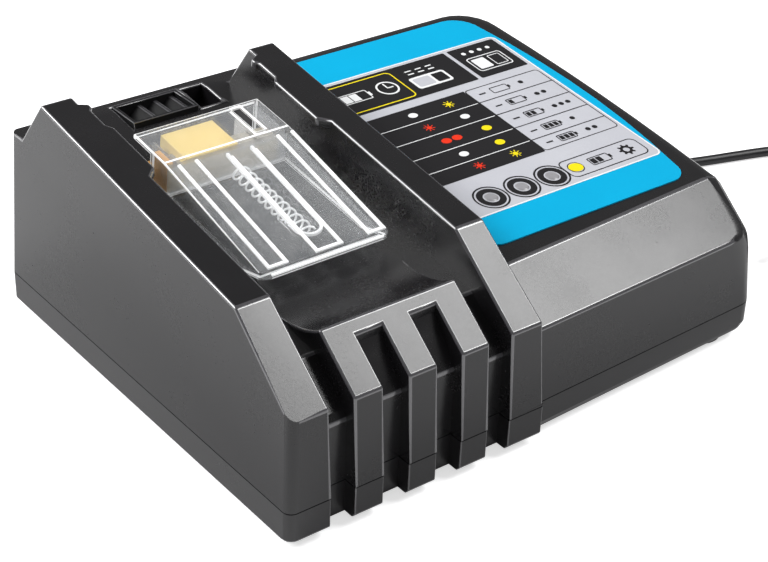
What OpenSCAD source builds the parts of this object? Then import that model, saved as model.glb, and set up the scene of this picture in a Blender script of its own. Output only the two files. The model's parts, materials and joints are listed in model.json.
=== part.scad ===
// Rapid charger for slide-on tool batteries: a two-part moulded case with a sloping battery bay,
// a spring-returned clear cover over the terminals, a blower that cools the battery, the power
// electronics, and a slim mains lead with its plug.
// Case pieces are drawn from the corner of the case: X from its left face, Y from the front of
// its pillars, Z from its underside. at_case() moves them to the part's own origin, which is
// under the middle of the case, on the surface that the feet stand on.

/* [Case] */
// Greatest width of the case
body_w = 195.5; // [192:0.5:199]
// Depth of the case at the parting line
body_d = 161; // [160:0.5:164]
// Height of the parting line above the underside
seam_z = 11.4; // [11:0.1:12.5]
// Wall of both case halves
wall = 2.5; // [2.2:0.1:2.8]
// Inward lean of the upper walls, in mm for each mm of height
draft_up = 0.05; // [0.03:0.005:0.055]
// Inward lean of the right-hand side wall
draft_side = 0.03; // [0.02:0.005:0.05]
// Bow of the right-hand side, seen from above
side_bow = 3.9; // [2:0.1:5]
// Corner radius at the left-hand end
corner_r = 3; // [2:0.5:4]
// Front corner radius at the right-hand end
front_corner_r = 6.5; // [5:0.5:9]
// Back corner radius at the right-hand end
back_corner_r = 14; // [10:0.5:15]
// Radius along the bottom edge of the lower case
bottom_r = 3.5; // [2:0.5:4]

/* [Battery bay] */
// Width of the left-hand wall at the front
pillar_l = 14.4; // [13:0.2:16]
// Width of the right-hand wall at the front
pillar_r = 13.2; // [12:0.2:14]
// Clear width of the bay
bay_w = 65.2; // [64:0.2:67]
// Height of the front edge of the pillars
front_top_z = 40.8; // [40:0.2:42]
// Front slope's upper end, from the front
knee_y = 29.5; // [29:0.5:31]
// Front slope's upper end, height
knee_z = 62.8; // [62:0.2:64]
// Back end of the wall tops, from the back of the case
rail_back = 23; // [21:0.5:25]
// Height of the wall tops at their back end
rail_top_z = 79.5; // [78:0.5:82]
// Foot of the walls' back slope, from the back of the case
rail_foot = 10.3; // [9:0.1:12]
// Height of the ledge behind the bay
ledge_z = 62.8; // [62.5:0.1:64]
// Height where the bay floor meets the scooped front
floor_low_z = 48.6; // [48:0.1:49]
// Where the bay floor meets the scooped front
floor_low_y = 41.9; // [41:0.1:43]
// Radius of the scooped front of the bay
scoop_r = 34; // [32:0.5:36]
// Width of each raised front rib
prong_w = 10; // [9.4:0.1:10.4]
// Width of the hollow between two ribs
recess_w = 9.1; // [8.8:0.1:9.4]
// Depth of the hollows in the front face
recess_d = 5; // [4:0.2:5.4]
// Reach of the battery rails into the bay
rail_reach = 3.3; // [2.6:0.1:3.6]
// Thickness of the battery rails
rail_t = 3.2; // [2.6:0.1:3.6]
// Length of the battery rails, up to the back end of the wall tops
rail_l = 43; // [38:0.5:46]

/* [Control side] */
// Setback of the control side's front face, beside the bay
right_setback = 2; // [1.6:0.1:4]
// How far that face runs back towards its outer end, in mm for each mm of width
front_lean = 0.045; // [0.03:0.005:0.06]
// Height of the control side's front edge
right_front_z = 36.9; // [35.5:0.1:38]
// Front edge of the label plane, at the middle of its width
label_edge_y = 24; // [23:0.5:25.5]
// Height of the label plane at that edge
label_edge_z = 50; // [49.5:0.5:51]
// Height of the label plane at the back of the case
label_back_z = 62.9; // [62:0.1:63.5]
// Rounding between the label plane and the sides
rim_r = 8; // [6:0.5:9]
// Thickness of the label
label_t = 0.4; // [0.3:0.1:0.6]
// Diameter of an indicator lens
lens_d = 5; // [4:0.5:6]
// Distance between two lenses
lens_pitch = 12.7; // [11:0.1:14]
// First lens, from the left face
lens_x = 112.5; // [111:0.5:114]
// Lenses, from the front edge of the label plane
lens_s = 27.5; // [25:0.5:30]

/* [Terminal cover] */
// Width of the clear cover
cover_w = 45.8; // [44:0.2:47]
// Left side of the cover
cover_x = 24.5; // [24:0.1:25]
// Front edge of the cover, along the bay floor
cover_s = 6.5; // [6:0.1:8]
// Length of the cover along the bay floor
cover_l = 73; // [72:0.5:75]
// Length of the sloping front part
wedge_l = 55; // [53:0.5:56]
// Radius of the cover's front corners
cover_corner_r = 3; // [1:0.5:3.5]
// Height of the front edge above the floor
cover_front_h = 6.4; // [6:0.1:7]
// Height of the flat top above the floor
cover_top_h = 13; // [12.6:0.1:13.4]
// Wall of the cover
cover_t = 1.4; // [1.2:0.1:1.6]
// Travel of the cover
cover_travel = 22; // [16:1:22]
// Outer diameter of the return spring
spring_d = 6; // [5:0.2:6.4]
// Wire of the return spring
spring_wire = 0.7; // [0.5:0.1:0.8]
// Curls of the return spring
spring_curls = 11; // [9:1:12]

/* [Blower] */
// Outer diameter of the blower housing
blower_d = 53; // [50:1:54]
// Height of the blower housing without its lid
blower_h = 20; // [18:0.5:22]
// Diameter of the blower wheel
wheel_d = 44; // [40:1:45]
// Blades of the blower wheel
wheel_blades = 24; // [16:1:28]
// Diameter of the blower shaft
shaft_d = 3; // [2:0.5:4]

/* [Mains lead] */
// Diameter of the lead
cord_d = 3.8; // [3.4:0.1:3.9]
// Length of the tapered guard
guard_l = 32; // [26:1:36]
// Mean diameter of the coiled part
coil_d = 43.8; // [43:0.2:46]
// Distance between turns in the coil, beside and above each other
coil_pitch = 4.35; // [4.3:0.05:4.6]

/* [Feet] */
// Height of the feet below the case
foot_h = 2.2; // [1.5:0.1:3]
// Diameter of a foot
foot_d = 12.8; // [10:0.2:14]

/* [Hidden] */

$fn = 48;
eps = 0.01;
big = 400;

// Clearance round a piece that fits into another
fit = 0.2;
// Clearance under a sliding piece
slide_gap = 0.3;

rail_back_y = body_d - rail_back;
rail_foot_y = body_d - rail_foot;
rail_front_y = rail_back_y - rail_l;

bay_x0 = pillar_l;
bay_x1 = bay_x0 + bay_w;
bay_mid = (bay_x0 + bay_x1) / 2;
left_w = bay_x1 + pillar_r;
groove_w = (bay_w - 3 * prong_w - 2 * recess_w) / 2;
prong_xs = [for (i = [0:2]) bay_x0 + groove_w + i * (prong_w + recess_w)];
recess_xs = [for (i = [0:1]) prong_xs[i] + prong_w];
groove_xs = [bay_x0, bay_x1 - groove_w];

floor_tan = (ledge_z - floor_low_z) / (rail_foot_y - floor_low_y);
floor_tilt = atan(floor_tan);
scoop_y = floor_low_y - scoop_r * sin(floor_tilt);
scoop_z = floor_low_z + scoop_r * cos(floor_tilt);
slope_tan = (knee_z - front_top_z) / (knee_y - draft_up * (front_top_z - seam_z));
rail_tan = (rail_top_z - knee_z) / (rail_back_y - knee_y);
rail_tilt = atan(rail_tan);
label_tilt = atan((label_back_z - label_edge_z) / (body_d - 11 - label_edge_y));
front_mid = front_lean * 46;
front_tilt = atan((label_edge_z - right_front_z) / (label_edge_y - right_setback - front_mid - 1.3));

// Height of the bay floor, and distance along it, at a depth y
function floor_z(y) = floor_low_z + (y - floor_low_y) * floor_tan;
function floor_s(y) = (y - floor_low_y) / cos(floor_tilt);

cover_x1 = cover_x + cover_w;
cover_s1 = cover_s + cover_l;
wedge_s = cover_s + wedge_l;
cover_in_h = cover_top_h - cover_t;

module at_case() translate([-body_w / 2, -body_d / 2, foot_h]) children();
module on_floor() translate([0, floor_low_y, floor_low_z]) rotate([floor_tilt, 0, 0]) children();
module on_label() translate([0, label_edge_y, label_edge_z]) rotate([label_tilt, 0, 0]) children();
// A side outline, drawn in Y and Z, run from x0 to x1
module along_x(x0, x1) translate([x0, 0, 0]) rotate([90, 0, 90]) linear_extrude(x1 - x0) children();
module box(lo, hi) translate(lo) cube([for (i = [0:2]) hi[i] - lo[i]]);
module rod(p, r, h) translate(p) cylinder(r = r, h = h);
// A block with its four upright edges rounded
module rounded_box(lo, hi, r) {
    box([lo[0] + r, lo[1], lo[2]], [hi[0] - r, hi[1], hi[2]]);
    box([lo[0], lo[1] + r, lo[2]], [hi[0], hi[1] - r, hi[2]]);
    for (x = [lo[0] + r, hi[0] - r]) for (y = [lo[1] + r, hi[1] - r]) rod([x, y, lo[2]], r, hi[2] - lo[2]);
}

function arc(c, r, a0, a1, n) = [for (i = [0:n]) let (a = a0 + (a1 - a0) * i / n) c + r * [cos(a), sin(a)]];

// ---------------------------------------------------------------- outlines of the case

corner_n = 6;
bow_y = 95;
bow_half = 81;
bow_steps = 7;
mid_x = 60;

// Plan outline of the battery side, moved in by i
function left_plan(i) = concat(
    arc([i + corner_r, i + corner_r], corner_r, 180, 270, corner_n),
    [[left_w - i, i], [left_w - i, body_d - i]],
    arc([i + corner_r, body_d - i - corner_r], corner_r, 90, 180, corner_n));

function front_y(x) = right_setback + front_lean * (x - left_w);
function side_x(y) = body_w - side_bow * pow((y - bow_y) / bow_half, 2);

// Plan outline of the control side: front, side and back moved in by fi, si and bi
function right_plan(fi, si, bi) =
    let (
        y1 = body_d - bi,
        cx = side_x(front_corner_r * 2) - si - front_corner_r,
        ya = front_y(cx) + fi + front_corner_r,
        yb = y1 - back_corner_r
    )
    concat(
        [[mid_x, front_y(mid_x) + fi]],
        arc([cx, ya], front_corner_r, atan(front_lean) - 90, 0, corner_n),
        [for (k = [1:bow_steps - 1]) let (y = ya + (yb - ya) * k / bow_steps) [side_x(y) - si, y]],
        arc([side_x(yb) - si - back_corner_r, yb], back_corner_r, 0, 90, corner_n),
        [[mid_x, y1]]);

module slab(points) linear_extrude(eps) polygon(points);
// A thin outline laid on a plane that rises towards the back from y0, z0; that line turns by skew
module sloped(y0, z0, tilt, skew = 0) multmatrix([
    [1, 0, 0, 0], [0, 1, 0, 0],
    [-skew * tan(tilt), tan(tilt), 1, z0 - eps + (skew * left_w - y0) * tan(tilt)], [0, 0, 0, 1]])
    children();

module left_form(t) {
    top_z = rail_top_z + 3;
    hull() {
        translate([0, 0, seam_z]) slab(left_plan(t));
        translate([0, 0, top_z]) slab(left_plan(t + draft_up * (top_z - seam_z)));
    }
}

rim_steps = [0, 30, 60, 90];
lean_front = draft_up * (right_front_z - seam_z);
lean_top = draft_up * (label_back_z - seam_z);
lean_side = draft_side * (label_back_z - seam_z);

module right_form(t) {
    r = rim_r - t / 2;
    intersection() {
        hull() {
            translate([0, 0, seam_z]) slab(right_plan(t, t, t));
            for (a = rim_steps)
                sloped(label_edge_y, label_edge_z - t - r * (1 - sin(a)), label_tilt)
                    slab(right_plan(t, t + lean_side + r * (1 - cos(a)), t + lean_top + r * (1 - cos(a))));
        }
        hull() {
            translate([0, 0, seam_z]) slab(right_plan(t, t, t));
            for (a = rim_steps)
                sloped(right_setback + lean_front, right_front_z - t * 1.2 - r * (1 - sin(a)),
                    front_tilt, front_lean)
                    slab(right_plan(t + lean_front, t + lean_side + r * (1 - cos(a)), t));
        }
    }
}

// ---------------------------------------------------------------- upper case

module wall_profile() polygon([
    [-1, seam_z], [-1, front_top_z], [draft_up * (front_top_z - seam_z), front_top_z],
    [knee_y, knee_z], [rail_back_y, rail_top_z], [rail_foot_y, ledge_z],
    [body_d + 1, ledge_z], [body_d + 1, seam_z]]);

module bay_cut() {
    // the sloping floor, up to the ledge
    along_x(bay_x0, bay_x1) polygon([
        [floor_low_y, floor_low_z], [rail_foot_y, ledge_z], [rail_foot_y, big], [floor_low_y, big]]);
    // the scooped front
    intersection() {
        translate([bay_x0, scoop_y, scoop_z]) rotate([0, 90, 0]) cylinder(r = scoop_r, h = bay_w, $fn = 180);
        box([0, 0, 0], [left_w, floor_low_y + eps, scoop_z]);
    }
    box([bay_x0, scoop_y - scoop_r, scoop_z - eps], [bay_x1, floor_low_y + eps, big]);
    for (x = groove_xs) along_x(x, x + groove_w) groove_profile();
    for (x = recess_xs) along_x(x, x + recess_w) recess_profile();
}

groove_y = 20.5;
recess_y = 14.8;

// Side outline of what is cut away above an outer groove
module groove_profile() polygon([
    [floor_low_y, floor_low_z], [groove_y, floor_low_z - 2.8], [recess_d + 1.5, front_top_z - 6],
    [recess_d, front_top_z - 8.8],
    [recess_d, -1], [-2, -1], [-2, big], [floor_low_y, big]]);

// Side outline of what is cut away above a hollow between two ribs
module recess_profile() polygon([
    [recess_y, big], [recess_y, floor_low_z - 0.2], [recess_y - 2.6, floor_low_z - 4.4],
    [recess_d + 2, front_top_z - 2.8], [recess_d, front_top_z - 6.8], [recess_d, -1],
    [-2, -1], [-2, big]]);

// Battery rail along one wall, seen from above, for a wall at x = 0 and the bay at x > 0
module rail_plan() polygon([
    [-1, rail_front_y - rail_reach], [0, rail_front_y - rail_reach], [rail_reach, rail_front_y],
    [rail_reach, rail_back_y - 20], [rail_reach - 1.6, rail_back_y - 17.5],
    [rail_reach - 1.6, rail_back_y - 9], [rail_reach - 0.5, rail_back_y - 7.5],
    [rail_reach - 0.5, rail_back_y - 5.5], [0, rail_back_y - 4], [-1, rail_back_y - 4]]);

module rails() for (m = [0, 1]) {
    translate([m == 0 ? bay_x0 : bay_x1, 0, 0]) mirror([m, 0, 0])
        intersection() {
            linear_extrude(big) rail_plan();
            along_x(-2, 8) polygon([
                [knee_y, knee_z], [rail_back_y, rail_top_z],
                [rail_back_y, rail_top_z - rail_t], [knee_y, knee_z - rail_t]]);
        }
}

vent_w = 24.4;
vent_x = bay_mid - vent_w / 2 + 2.4;
vent_y0 = body_d - 20.8;
vent_y1 = body_d - 6.2;
vent_z0 = 51;

// Shallow pocket beside the vent
pocket_x0 = vent_x + vent_w + 1.8;
pocket_x1 = pocket_x0 + 8;
pocket_y0 = vent_y0 + 1;
pocket_y1 = vent_y1 - 0.4;
pocket_z = 56;

// Underside of the bay, seen from the side
module under_bay() polygon([
    [recess_d + wall, -5], [recess_d + wall, front_top_z - 10.3], [groove_y + 1.2, floor_low_z - 2.8 - wall],
    [floor_low_y, floor_low_z - wall - 0.4], [rail_foot_y, ledge_z - wall - 0.4],
    [big, ledge_z - wall - 0.4], [big, -5]]);

// Hollow inside the wall beside the bay, seen from the side
module in_wall() polygon([
    [recess_d + wall, -5], [recess_d + wall, front_top_z - 2.6], [knee_y + 0.6, knee_z - wall - 0.2],
    [rail_back_y - 1, rail_top_z - wall - 0.2], [rail_foot_y - 3, ledge_z - wall],
    [big, ledge_z - wall], [big, -5]]);

hollow_gap = 2.9;

module upper_hollow() {
    intersection() {
        left_form(wall);
        union() {
            along_x(wall, left_w) under_bay();
            along_x(wall, bay_x0 - hollow_gap) in_wall();
            along_x(bay_x1 + hollow_gap, left_w - wall) in_wall();
        }
    }
    intersection() {
        right_form(wall);
        box([bay_x1 + hollow_gap, 0, 0], [big, big, big]);
    }
}

screw_at = [[10, 36], [10, body_d - 21], [body_w - 10.5, 42], [body_w - 71, body_d - 8]];
screw_post_r = 4;
screw_pilot_r = 1.4;
screw_len = 16;

led_posts_x = [lens_x - 12, lens_x + 2 * lens_pitch + 12];
led_drop = 8;
guard_x = body_w - 23.5;
guard_neck_r = 5;
block_hole = [[29, 14.5], [66, 24]];

module upper_case() color("#201f21") at_case() difference() {
    union() {
        difference() {
            union() {
                difference() {
                    intersection() {
                        left_form(0);
                        along_x(0, left_w) wall_profile();
                    }
                    bay_cut();
                }
                rails();
                difference() {
                    right_form(0);
                    box([0, -5, 0], [bay_x1 + pillar_r / 2, big, big]);
                }
            }
            difference() {
                upper_hollow();
                for (p = screw_at) rod([p[0], p[1], 0], screw_post_r, big);
                on_label() for (x = led_posts_x) rod([x, lens_s, -led_drop], 3, led_drop);
            }
        }
        spring_seat();
        intersection() {
            box([pocket_x0 - 1.6, pocket_y0 - 1.6, pocket_z - 1.6],
                [pocket_x1 + 1.6, pocket_y1 + 1.6, ledge_z - 1]);
            left_form(1);
        }
    }
    box([pocket_x0, pocket_y0, pocket_z], [pocket_x1, pocket_y1, big]);
    for (p = screw_at) rod([p[0], p[1], seam_z - eps], screw_pilot_r, screw_len - 4);
    on_label() for (i = [0:2]) rod([lens_x + i * lens_pitch, lens_s, -20], lens_d / 2 + fit, 30);
    on_label() for (x = led_posts_x) rod([x, lens_s, -led_drop - eps], 0.9, led_drop - 2);
    box([vent_x - fit, vent_y0 - fit, vent_z0], [vent_x + vent_w + fit, vent_y1 + fit, big]);
    on_floor() box([block_x0 + 3, block_s0 + 4, -9], [block_x1 - 3, block_s1 - 3, 3]);
    translate([guard_x, body_d + 10, seam_z]) rotate([90, 0, 0]) cylinder(r = guard_neck_r + 0.1, h = 25);
}

seat_s = 18;
seat_r = spring_d / 2 + 0.6;
seat_t = 1.2;
seat_h = 5.4;
spring_x = bay_mid + 3.4;

// Curved stop for the front end of the spring, open towards the back
module spring_seat() on_floor() {
    difference() {
        union() {
            rod([spring_x, seat_s + seat_r, -0.4], seat_r + seat_t, seat_h + 0.4);
            box([spring_x - seat_r - seat_t, seat_s + seat_r, -0.4],
                [spring_x + seat_r + seat_t, seat_s + seat_r + 9, seat_h - 1]);
        }
        rod([spring_x, seat_s + seat_r, 0], seat_r, big);
        box([spring_x - seat_r, seat_s + seat_r, 0], [spring_x + seat_r, seat_s + seat_r + 20, big]);
    }
    box([spring_x - seat_r - 0.2, seat_s, -0.2], [spring_x + seat_r + 0.2, seat_s + seat_t + 1, seat_h]);
}

// ---------------------------------------------------------------- lower case

left_bottom_r = 1.6;

module lower_form(t) {
    hull() {
        translate([0, 0, seam_z - eps]) slab(left_plan(t));
        translate([0, 0, left_bottom_r]) slab(left_plan(t));
        slab(left_plan(t + left_bottom_r));
    }
    difference() {
        hull() {
            translate([0, 0, seam_z - eps]) slab(right_plan(t, t, t));
            for (a = [0, 45, 90]) let (r = bottom_r, i = t + r * (1 - cos(a)))
                translate([0, 0, r * (1 - sin(a))]) slab(right_plan(i, i, i));
        }
        box([0, 0, -1], [bay_x1 + pillar_r / 2, big, big]);
    }
}

foot_at = [[13, 15], [13, body_d - 14], [body_w - 18.5, 15.3], [body_w - 18, body_d - 15]];
foot_seat = 1;

// What stands on the board is drawn for a board of this size, and follows the real one
board_drawn = [160.5, 78];
board_x0 = 16;
board_y0 = 12;
board_kx = (body_w - 35) / board_drawn[0];
board_ky = (body_d - 83) / board_drawn[1];
board_k = min(board_kx, board_ky);
board_x1 = board_x0 + board_drawn[0] * board_kx;
board_y1 = board_y0 + board_drawn[1] * board_ky;
board_inset = 5.2;
board_z = 7.5;
board_t = 1.6;
board_top = board_z + board_t;
board_posts = [
    for (x = [board_x0 + board_inset, board_x1 - board_inset])
    for (y = [board_y0 + board_inset, board_y1 - board_inset]) [x, y]];

blower_x = 50;
blower_y = body_d - 43;
blower_z = 12;
blower_posts = [for (a = [150, 270, 30]) [blower_x + 22 * cos(a), blower_y + 22 * sin(a)]];

clamp_y = body_d - 14;
clamp_dx = 6.6;
cord_r = cord_d / 2;

module lower_case() color("#201f21") at_case() difference() {
    union() {
        difference() {
            lower_form(0);
            intersection() {
                lower_form(wall);
                union() {
                    box([wall, recess_d + wall, wall], [left_w, body_d, seam_z + 1]);
                    box([bay_x1 + hollow_gap, 0, wall], [body_w, body_d, seam_z + 1]);
                }
            }
        }
        for (p = screw_at) rod([p[0], p[1], 0.5], screw_post_r, seam_z - 0.5);
        for (p = board_posts) rod([p[0], p[1], 1], 3, board_z - 1);
        for (p = blower_posts) rod([p[0], p[1], 1], 2.5, blower_z - 1);
        box([guard_x - 9, clamp_y - 3, 1], [guard_x + 9, clamp_y + 3, seam_z - cord_r]);
    }
    for (x = groove_xs) box([x, -1, -1], [x + groove_w, recess_d, seam_z + 1]);
    for (x = recess_xs) box([x, -1, -1], [x + recess_w, recess_d, seam_z + 1]);
    for (p = screw_at) {
        rod([p[0], p[1], -1], 2.1, seam_z + 2);
        rod([p[0], p[1], -1], 3.7, 4.5);
    }
    for (p = board_posts) rod([p[0], p[1], 2], 1.1, board_z);
    for (p = foot_at) rod([p[0], p[1], -1], foot_d / 2 + fit, 1 + foot_seat);
    for (d = [-clamp_dx, clamp_dx]) rod([guard_x + d, clamp_y, 2], 1, seam_z);
    translate([guard_x, body_d + 10, seam_z]) rotate([90, 0, 0])
        cylinder(r = guard_neck_r + 0.1, h = 24.9);
    intake_slots();
}

slot_pitch = 5.5;
slot_w = 2.6;

// Air slots under the blower, within a circle
module intake_slots() for (i = [-3:3]) {
    x = blower_x + i * slot_pitch;
    half = sqrt(pow(blower_d / 2 - 7, 2) - pow(i * slot_pitch, 2));
    box([x - slot_w / 2, blower_y - half, -1], [x + slot_w / 2, blower_y + half, wall + 1]);
}

module rubber_feet() color("#18181a") at_case() for (p = foot_at) {
    rod([p[0], p[1], -foot_h + 0.6], foot_d / 2, foot_h - 0.6 + foot_seat);
    translate([p[0], p[1], -foot_h]) cylinder(r1 = foot_d / 2 - 0.6, r2 = foot_d / 2, h = 0.6);
}

// Pan-head screw, point up, with its head's underside at z = 0
module screw_up(r, len, head_r, head_h) {
    cylinder(r = r, h = len);
    translate([0, 0, -head_h]) difference() {
        cylinder(r = head_r, h = head_h);
        for (a = [0, 90]) rotate([0, 0, a])
            box([-head_r * 0.55, -0.5, -1], [head_r * 0.55, 0.5, head_h * 0.5]);
    }
}

module case_screws() color("#5d5f63") at_case() for (p = screw_at)
    translate([p[0], p[1], 3.5]) screw_up(screw_pilot_r, screw_len, 3.4, 2.4);

module board_screws() color("#8b8d92") at_case() for (p = board_posts)
    translate([p[0], p[1], board_top]) mirror([0, 0, 1]) screw_up(1.1, board_t + 4.4, 2.7, 1.8);

module rating_plate() color("#b9bcc0") at_case()
    rounded_box([0.4 * body_w, 0.25 * body_d, -0.3], [0.7 * body_w, 0.49 * body_d, 0], 2);

// ---------------------------------------------------------------- terminals and cover

block_x0 = cover_x + cover_t + 1;
block_x1 = cover_x1 - cover_t - 1;
block_s0 = wedge_s + 1.5;
block_s1 = cover_s1 - 1.5;
block_wall_s = block_s0 + 8;
block_wall_h = cover_in_h - 3.4;
ear_w = 2;
tongue_x0 = 33.4;
tongue_x1 = 52.4;
blade_t = 0.8;
blade_xs = [block_x0 + 3.4, tongue_x1 + 8.2];

module terminal_block() color("#f0b53c") at_case() on_floor() difference() {
    union() {
        box([block_x0, block_s0, 0], [block_x1, block_s1, 2.5]);
        box([block_x0, block_s0, 0], [block_x1, block_wall_s, block_wall_h]);
        box([block_x0, block_s0, 0], [block_x0 + ear_w, block_wall_s, cover_in_h - 0.7]);
        box([tongue_x0, block_s0, 0], [tongue_x1, block_s1, cover_in_h - 0.7]);
        for (x = [block_x0 + 8, block_x1 - 8]) box([x - 3, block_s0 + 5, -4], [x + 3, block_s1 - 5, 1]);
    }
    for (x = blade_xs) box([x - 0.05, block_s0 + 1, -10], [x + blade_t + 0.05, block_s1 + 1, 9.6]);
    // contact slots in the face of the tongue
    for (i = [0:3]) translate([tongue_x0 + 3.4 + i * 4.2, block_s1, 3.4]) box([0, -7, 0], [1.6, 1, 5.2]);
}

module power_blades() color("#c9ccd1") at_case() on_floor() for (x = blade_xs) {
    box([x, block_s0 + 1, 3], [x + blade_t, block_s1 - 0.6, 9.4]);
    box([x, block_s0 + 5, -8], [x + blade_t, block_s0 + 9, 3]);
}

cover_foot_s = cover_s + 13;

module cover_side() polygon([
    [cover_s, cover_front_h - 1.4], [cover_s, cover_front_h], [wedge_s, cover_top_h],
    [cover_s1, cover_top_h], [cover_s1, slide_gap], [cover_foot_s, slide_gap]]);

module cover_inside() polygon([
    [cover_s + 4, -1], [cover_s + 4, cover_front_h - cover_t + 0.4],
    [wedge_s, cover_top_h - cover_t], [cover_s1 + 1, cover_top_h - cover_t], [cover_s1 + 1, -1]]);

rib_h = 0.6;
rib_w = 1;
rib_start = 2.4;
rib_frames = [[2.9, 9, 50], [19.9, 28.6, 47], [38.8, 44.2, 50]];

module terminal_cover() color([0.9, 0.92, 0.93, 0.45]) at_case() on_floor() intersection() {
    rounded_box([cover_x, cover_s, -big], [cover_x1, cover_s1 + big, big], cover_corner_r);
    cover_hood();
}

module cover_hood() difference() {
    union() {
        difference() {
            along_x(cover_x, cover_x1) cover_side();
            along_x(cover_x + cover_t, cover_x1 - cover_t) cover_inside();
        }
        // wall that the spring pushes on
        along_x(cover_x + cover_t - eps, cover_x1 - cover_t + eps) polygon([
            [wedge_s - cover_t, slide_gap + 0.4], [wedge_s - cover_t, cover_top_h - cover_t + eps],
            [wedge_s, cover_top_h - cover_t + eps], [wedge_s, slide_gap + 0.4]]);
        cover_ribs();
    }
    // slot over the right-hand blade, and the open left side of the hood
    box([blade_xs[1] - 1.2, wedge_s + 2, cover_top_h - cover_t - 1],
        [blade_xs[1] + 2, cover_s1 - 1.5, cover_top_h + 2]);
    box([cover_x - 1, wedge_s + 8, 5.5], [cover_x + cover_t + 0.5, cover_s1 + 1, cover_in_h - 0.2]);
}

wedge_tilt = atan((cover_top_h - cover_front_h) / wedge_l);

// Raised frames on the sloping front part
module cover_ribs() translate([cover_x, cover_s, cover_front_h]) rotate([wedge_tilt, 0, 0])
    for (f = rib_frames) {
        for (x = [f[0], f[1]]) box([x, rib_start, -0.4], [x + rib_w, rib_start + f[2], rib_h]);
        box([f[0], rib_start, -0.4], [f[1] + rib_w, rib_start + rib_w, rib_h]);
    }

// ---------------------------------------------------------------- tubes

function unit(v) = v / norm(v);
function tangents(p) = let (n = len(p) - 1) [for (i = [0:n]) unit(p[min(i + 1, n)] - p[max(i - 1, 0)])];
// Sideways directions for a path that never stands upright
function level_sides(p) = [for (t = tangents(p)) unit(cross(t, [0, 0, 1]))];

// One closed tube of radius r round the points p; side[i] is square to the path at p[i]
module tube(p, side, r, n) {
    last = len(p) - 1;
    t = tangents(p);
    rings = [for (i = [0:last]) let (u = unit(side[i] - (side[i] * t[i]) * t[i]), v = cross(t[i], u))
        for (k = [0:n - 1]) p[i] + r * cos(360 * k / n) * u + r * sin(360 * k / n) * v];
    walls = [for (i = [0:last - 1]) for (k = [0:n - 1]) let (k1 = (k + 1) % n)
        each [[i * n + k, (i + 1) * n + k1, i * n + k1], [i * n + k, (i + 1) * n + k, (i + 1) * n + k1]]];
    start = [for (k = [1:n - 2]) [0, k, k + 1]];
    end = [for (k = [1:n - 2]) [last * n, last * n + k + 1, last * n + k]];
    polyhedron(concat(rings, [p[0], p[last]]), concat(walls, start, end), convexity = 10);
}

// Least clear distance between stretches of a tube that are at least skip points apart
function self_gap(p, r, skip) =
    min([for (i = [0:len(p) - 1 - skip]) min([for (j = [i + skip:len(p) - 1]) norm(p[i] - p[j])])]) - 2 * r;

// ---------------------------------------------------------------- return spring

spring_rings = 8;
spring_r = (spring_d - spring_wire) / 2;
spring_h = 3.4;
spring_s0 = seat_s + seat_t + 1;
spring_s1 = wedge_s - cover_t;
spring_n = spring_curls * spring_rings;
spring_lead = 2 * spring_wire;

// A curl's points run round the axis; each end runs straight to its seat
function spring_point(i) =
    let (
        a = 360 * i / spring_rings,
        s = spring_s0 + spring_lead + (spring_s1 - spring_s0 - 2 * spring_lead) * i / spring_n)
    [spring_r * cos(a), s, spring_h + spring_r * sin(a)];
function spring_side(i) = let (a = 360 * i / spring_rings) [cos(a), 0, sin(a)];
spring_path = concat(
    [[spring_r, spring_s0, spring_h], [spring_r, spring_s0 + spring_wire, spring_h]],
    [for (i = [0:spring_n]) spring_point(i)],
    [[spring_r, spring_s1 - spring_wire, spring_h], [spring_r, spring_s1, spring_h]]);
spring_end = [[1, 0, 0], [1, 0, 0]];
spring_sides = concat(spring_end, [for (i = [0:spring_n]) spring_side(i)], spring_end);

module cover_spring() color("#c4c7cb") at_case() on_floor() translate([spring_x, 0, 0])
    tube(spring_path, spring_sides, spring_wire / 2, 6);

echo(spring_least_gap_mm = self_gap(spring_path, spring_wire / 2, spring_rings - 1));

// ---------------------------------------------------------------- label and indicators

label_x0 = left_w + 0.8;
label_s0 = 6;
label_s1 = 126;
label_r = 7;
label_margin = 11.2;

// Label outline on its plane; its right-hand edge follows the bow of the case
label_points = concat(
    arc([label_x0 + label_r, label_s0 + label_r], label_r, 180, 270, corner_n),
    arc([label_edge(label_s0 + label_r) - label_r, label_s0 + label_r], label_r, 270, 360, corner_n),
    [for (k = [1:6])
        let (s = label_s0 + label_r + (label_s1 - 10 - label_s0 - label_r) * k / 7) [label_edge(s), s]],
    arc([label_edge(label_s1 - 10) - 10, label_s1 - 10], 10, 0, 90, corner_n),
    [[label_x0, label_s1]]);
function label_edge(s) = side_x(s + label_edge_y) - label_margin - pow((s - 68) / 46, 2) * 2.4;

module label_panel() color("#00aee0") at_case() on_label() difference() {
    linear_extrude(label_t) polygon(label_points);
    for (i = [0:2]) rod([lens_x + i * lens_pitch, lens_s, -1], lens_d / 2 + fit, 3);
}

module led_lenses() color("#8f9296") at_case() on_label() for (i = [0:2])
    translate([lens_x + i * lens_pitch, lens_s, -led_drop]) {
        cylinder(r = lens_d / 2, h = led_drop + label_t - 0.1);
        translate([0, 0, led_drop + label_t - 0.1]) cylinder(r1 = lens_d / 2, r2 = lens_d / 2 - 0.7, h = 0.5);
    }

module led_board() color("#1d5c3a") at_case() on_label() difference() {
    box([led_posts_x[0] - 5, lens_s - 9, -led_drop - 1.6], [led_posts_x[1] + 5, lens_s + 9, -led_drop]);
    for (x = led_posts_x) rod([x, lens_s, -20], 1.2, 20);
}

// ---------------------------------------------------------------- vent and blower

vane_n = 3;
grille_t = 1.3;

// Outline of one curved vane, from the bottom of the grille to its top
module vane_profile() difference() {
    intersection() {
        translate([9, 0]) circle(r = 12);
        polygon([[-4, 0.4], [4, 0.4], [4, 10.4], [-4, 10.4]]);
    }
    translate([10, 0]) circle(r = 12);
}

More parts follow.
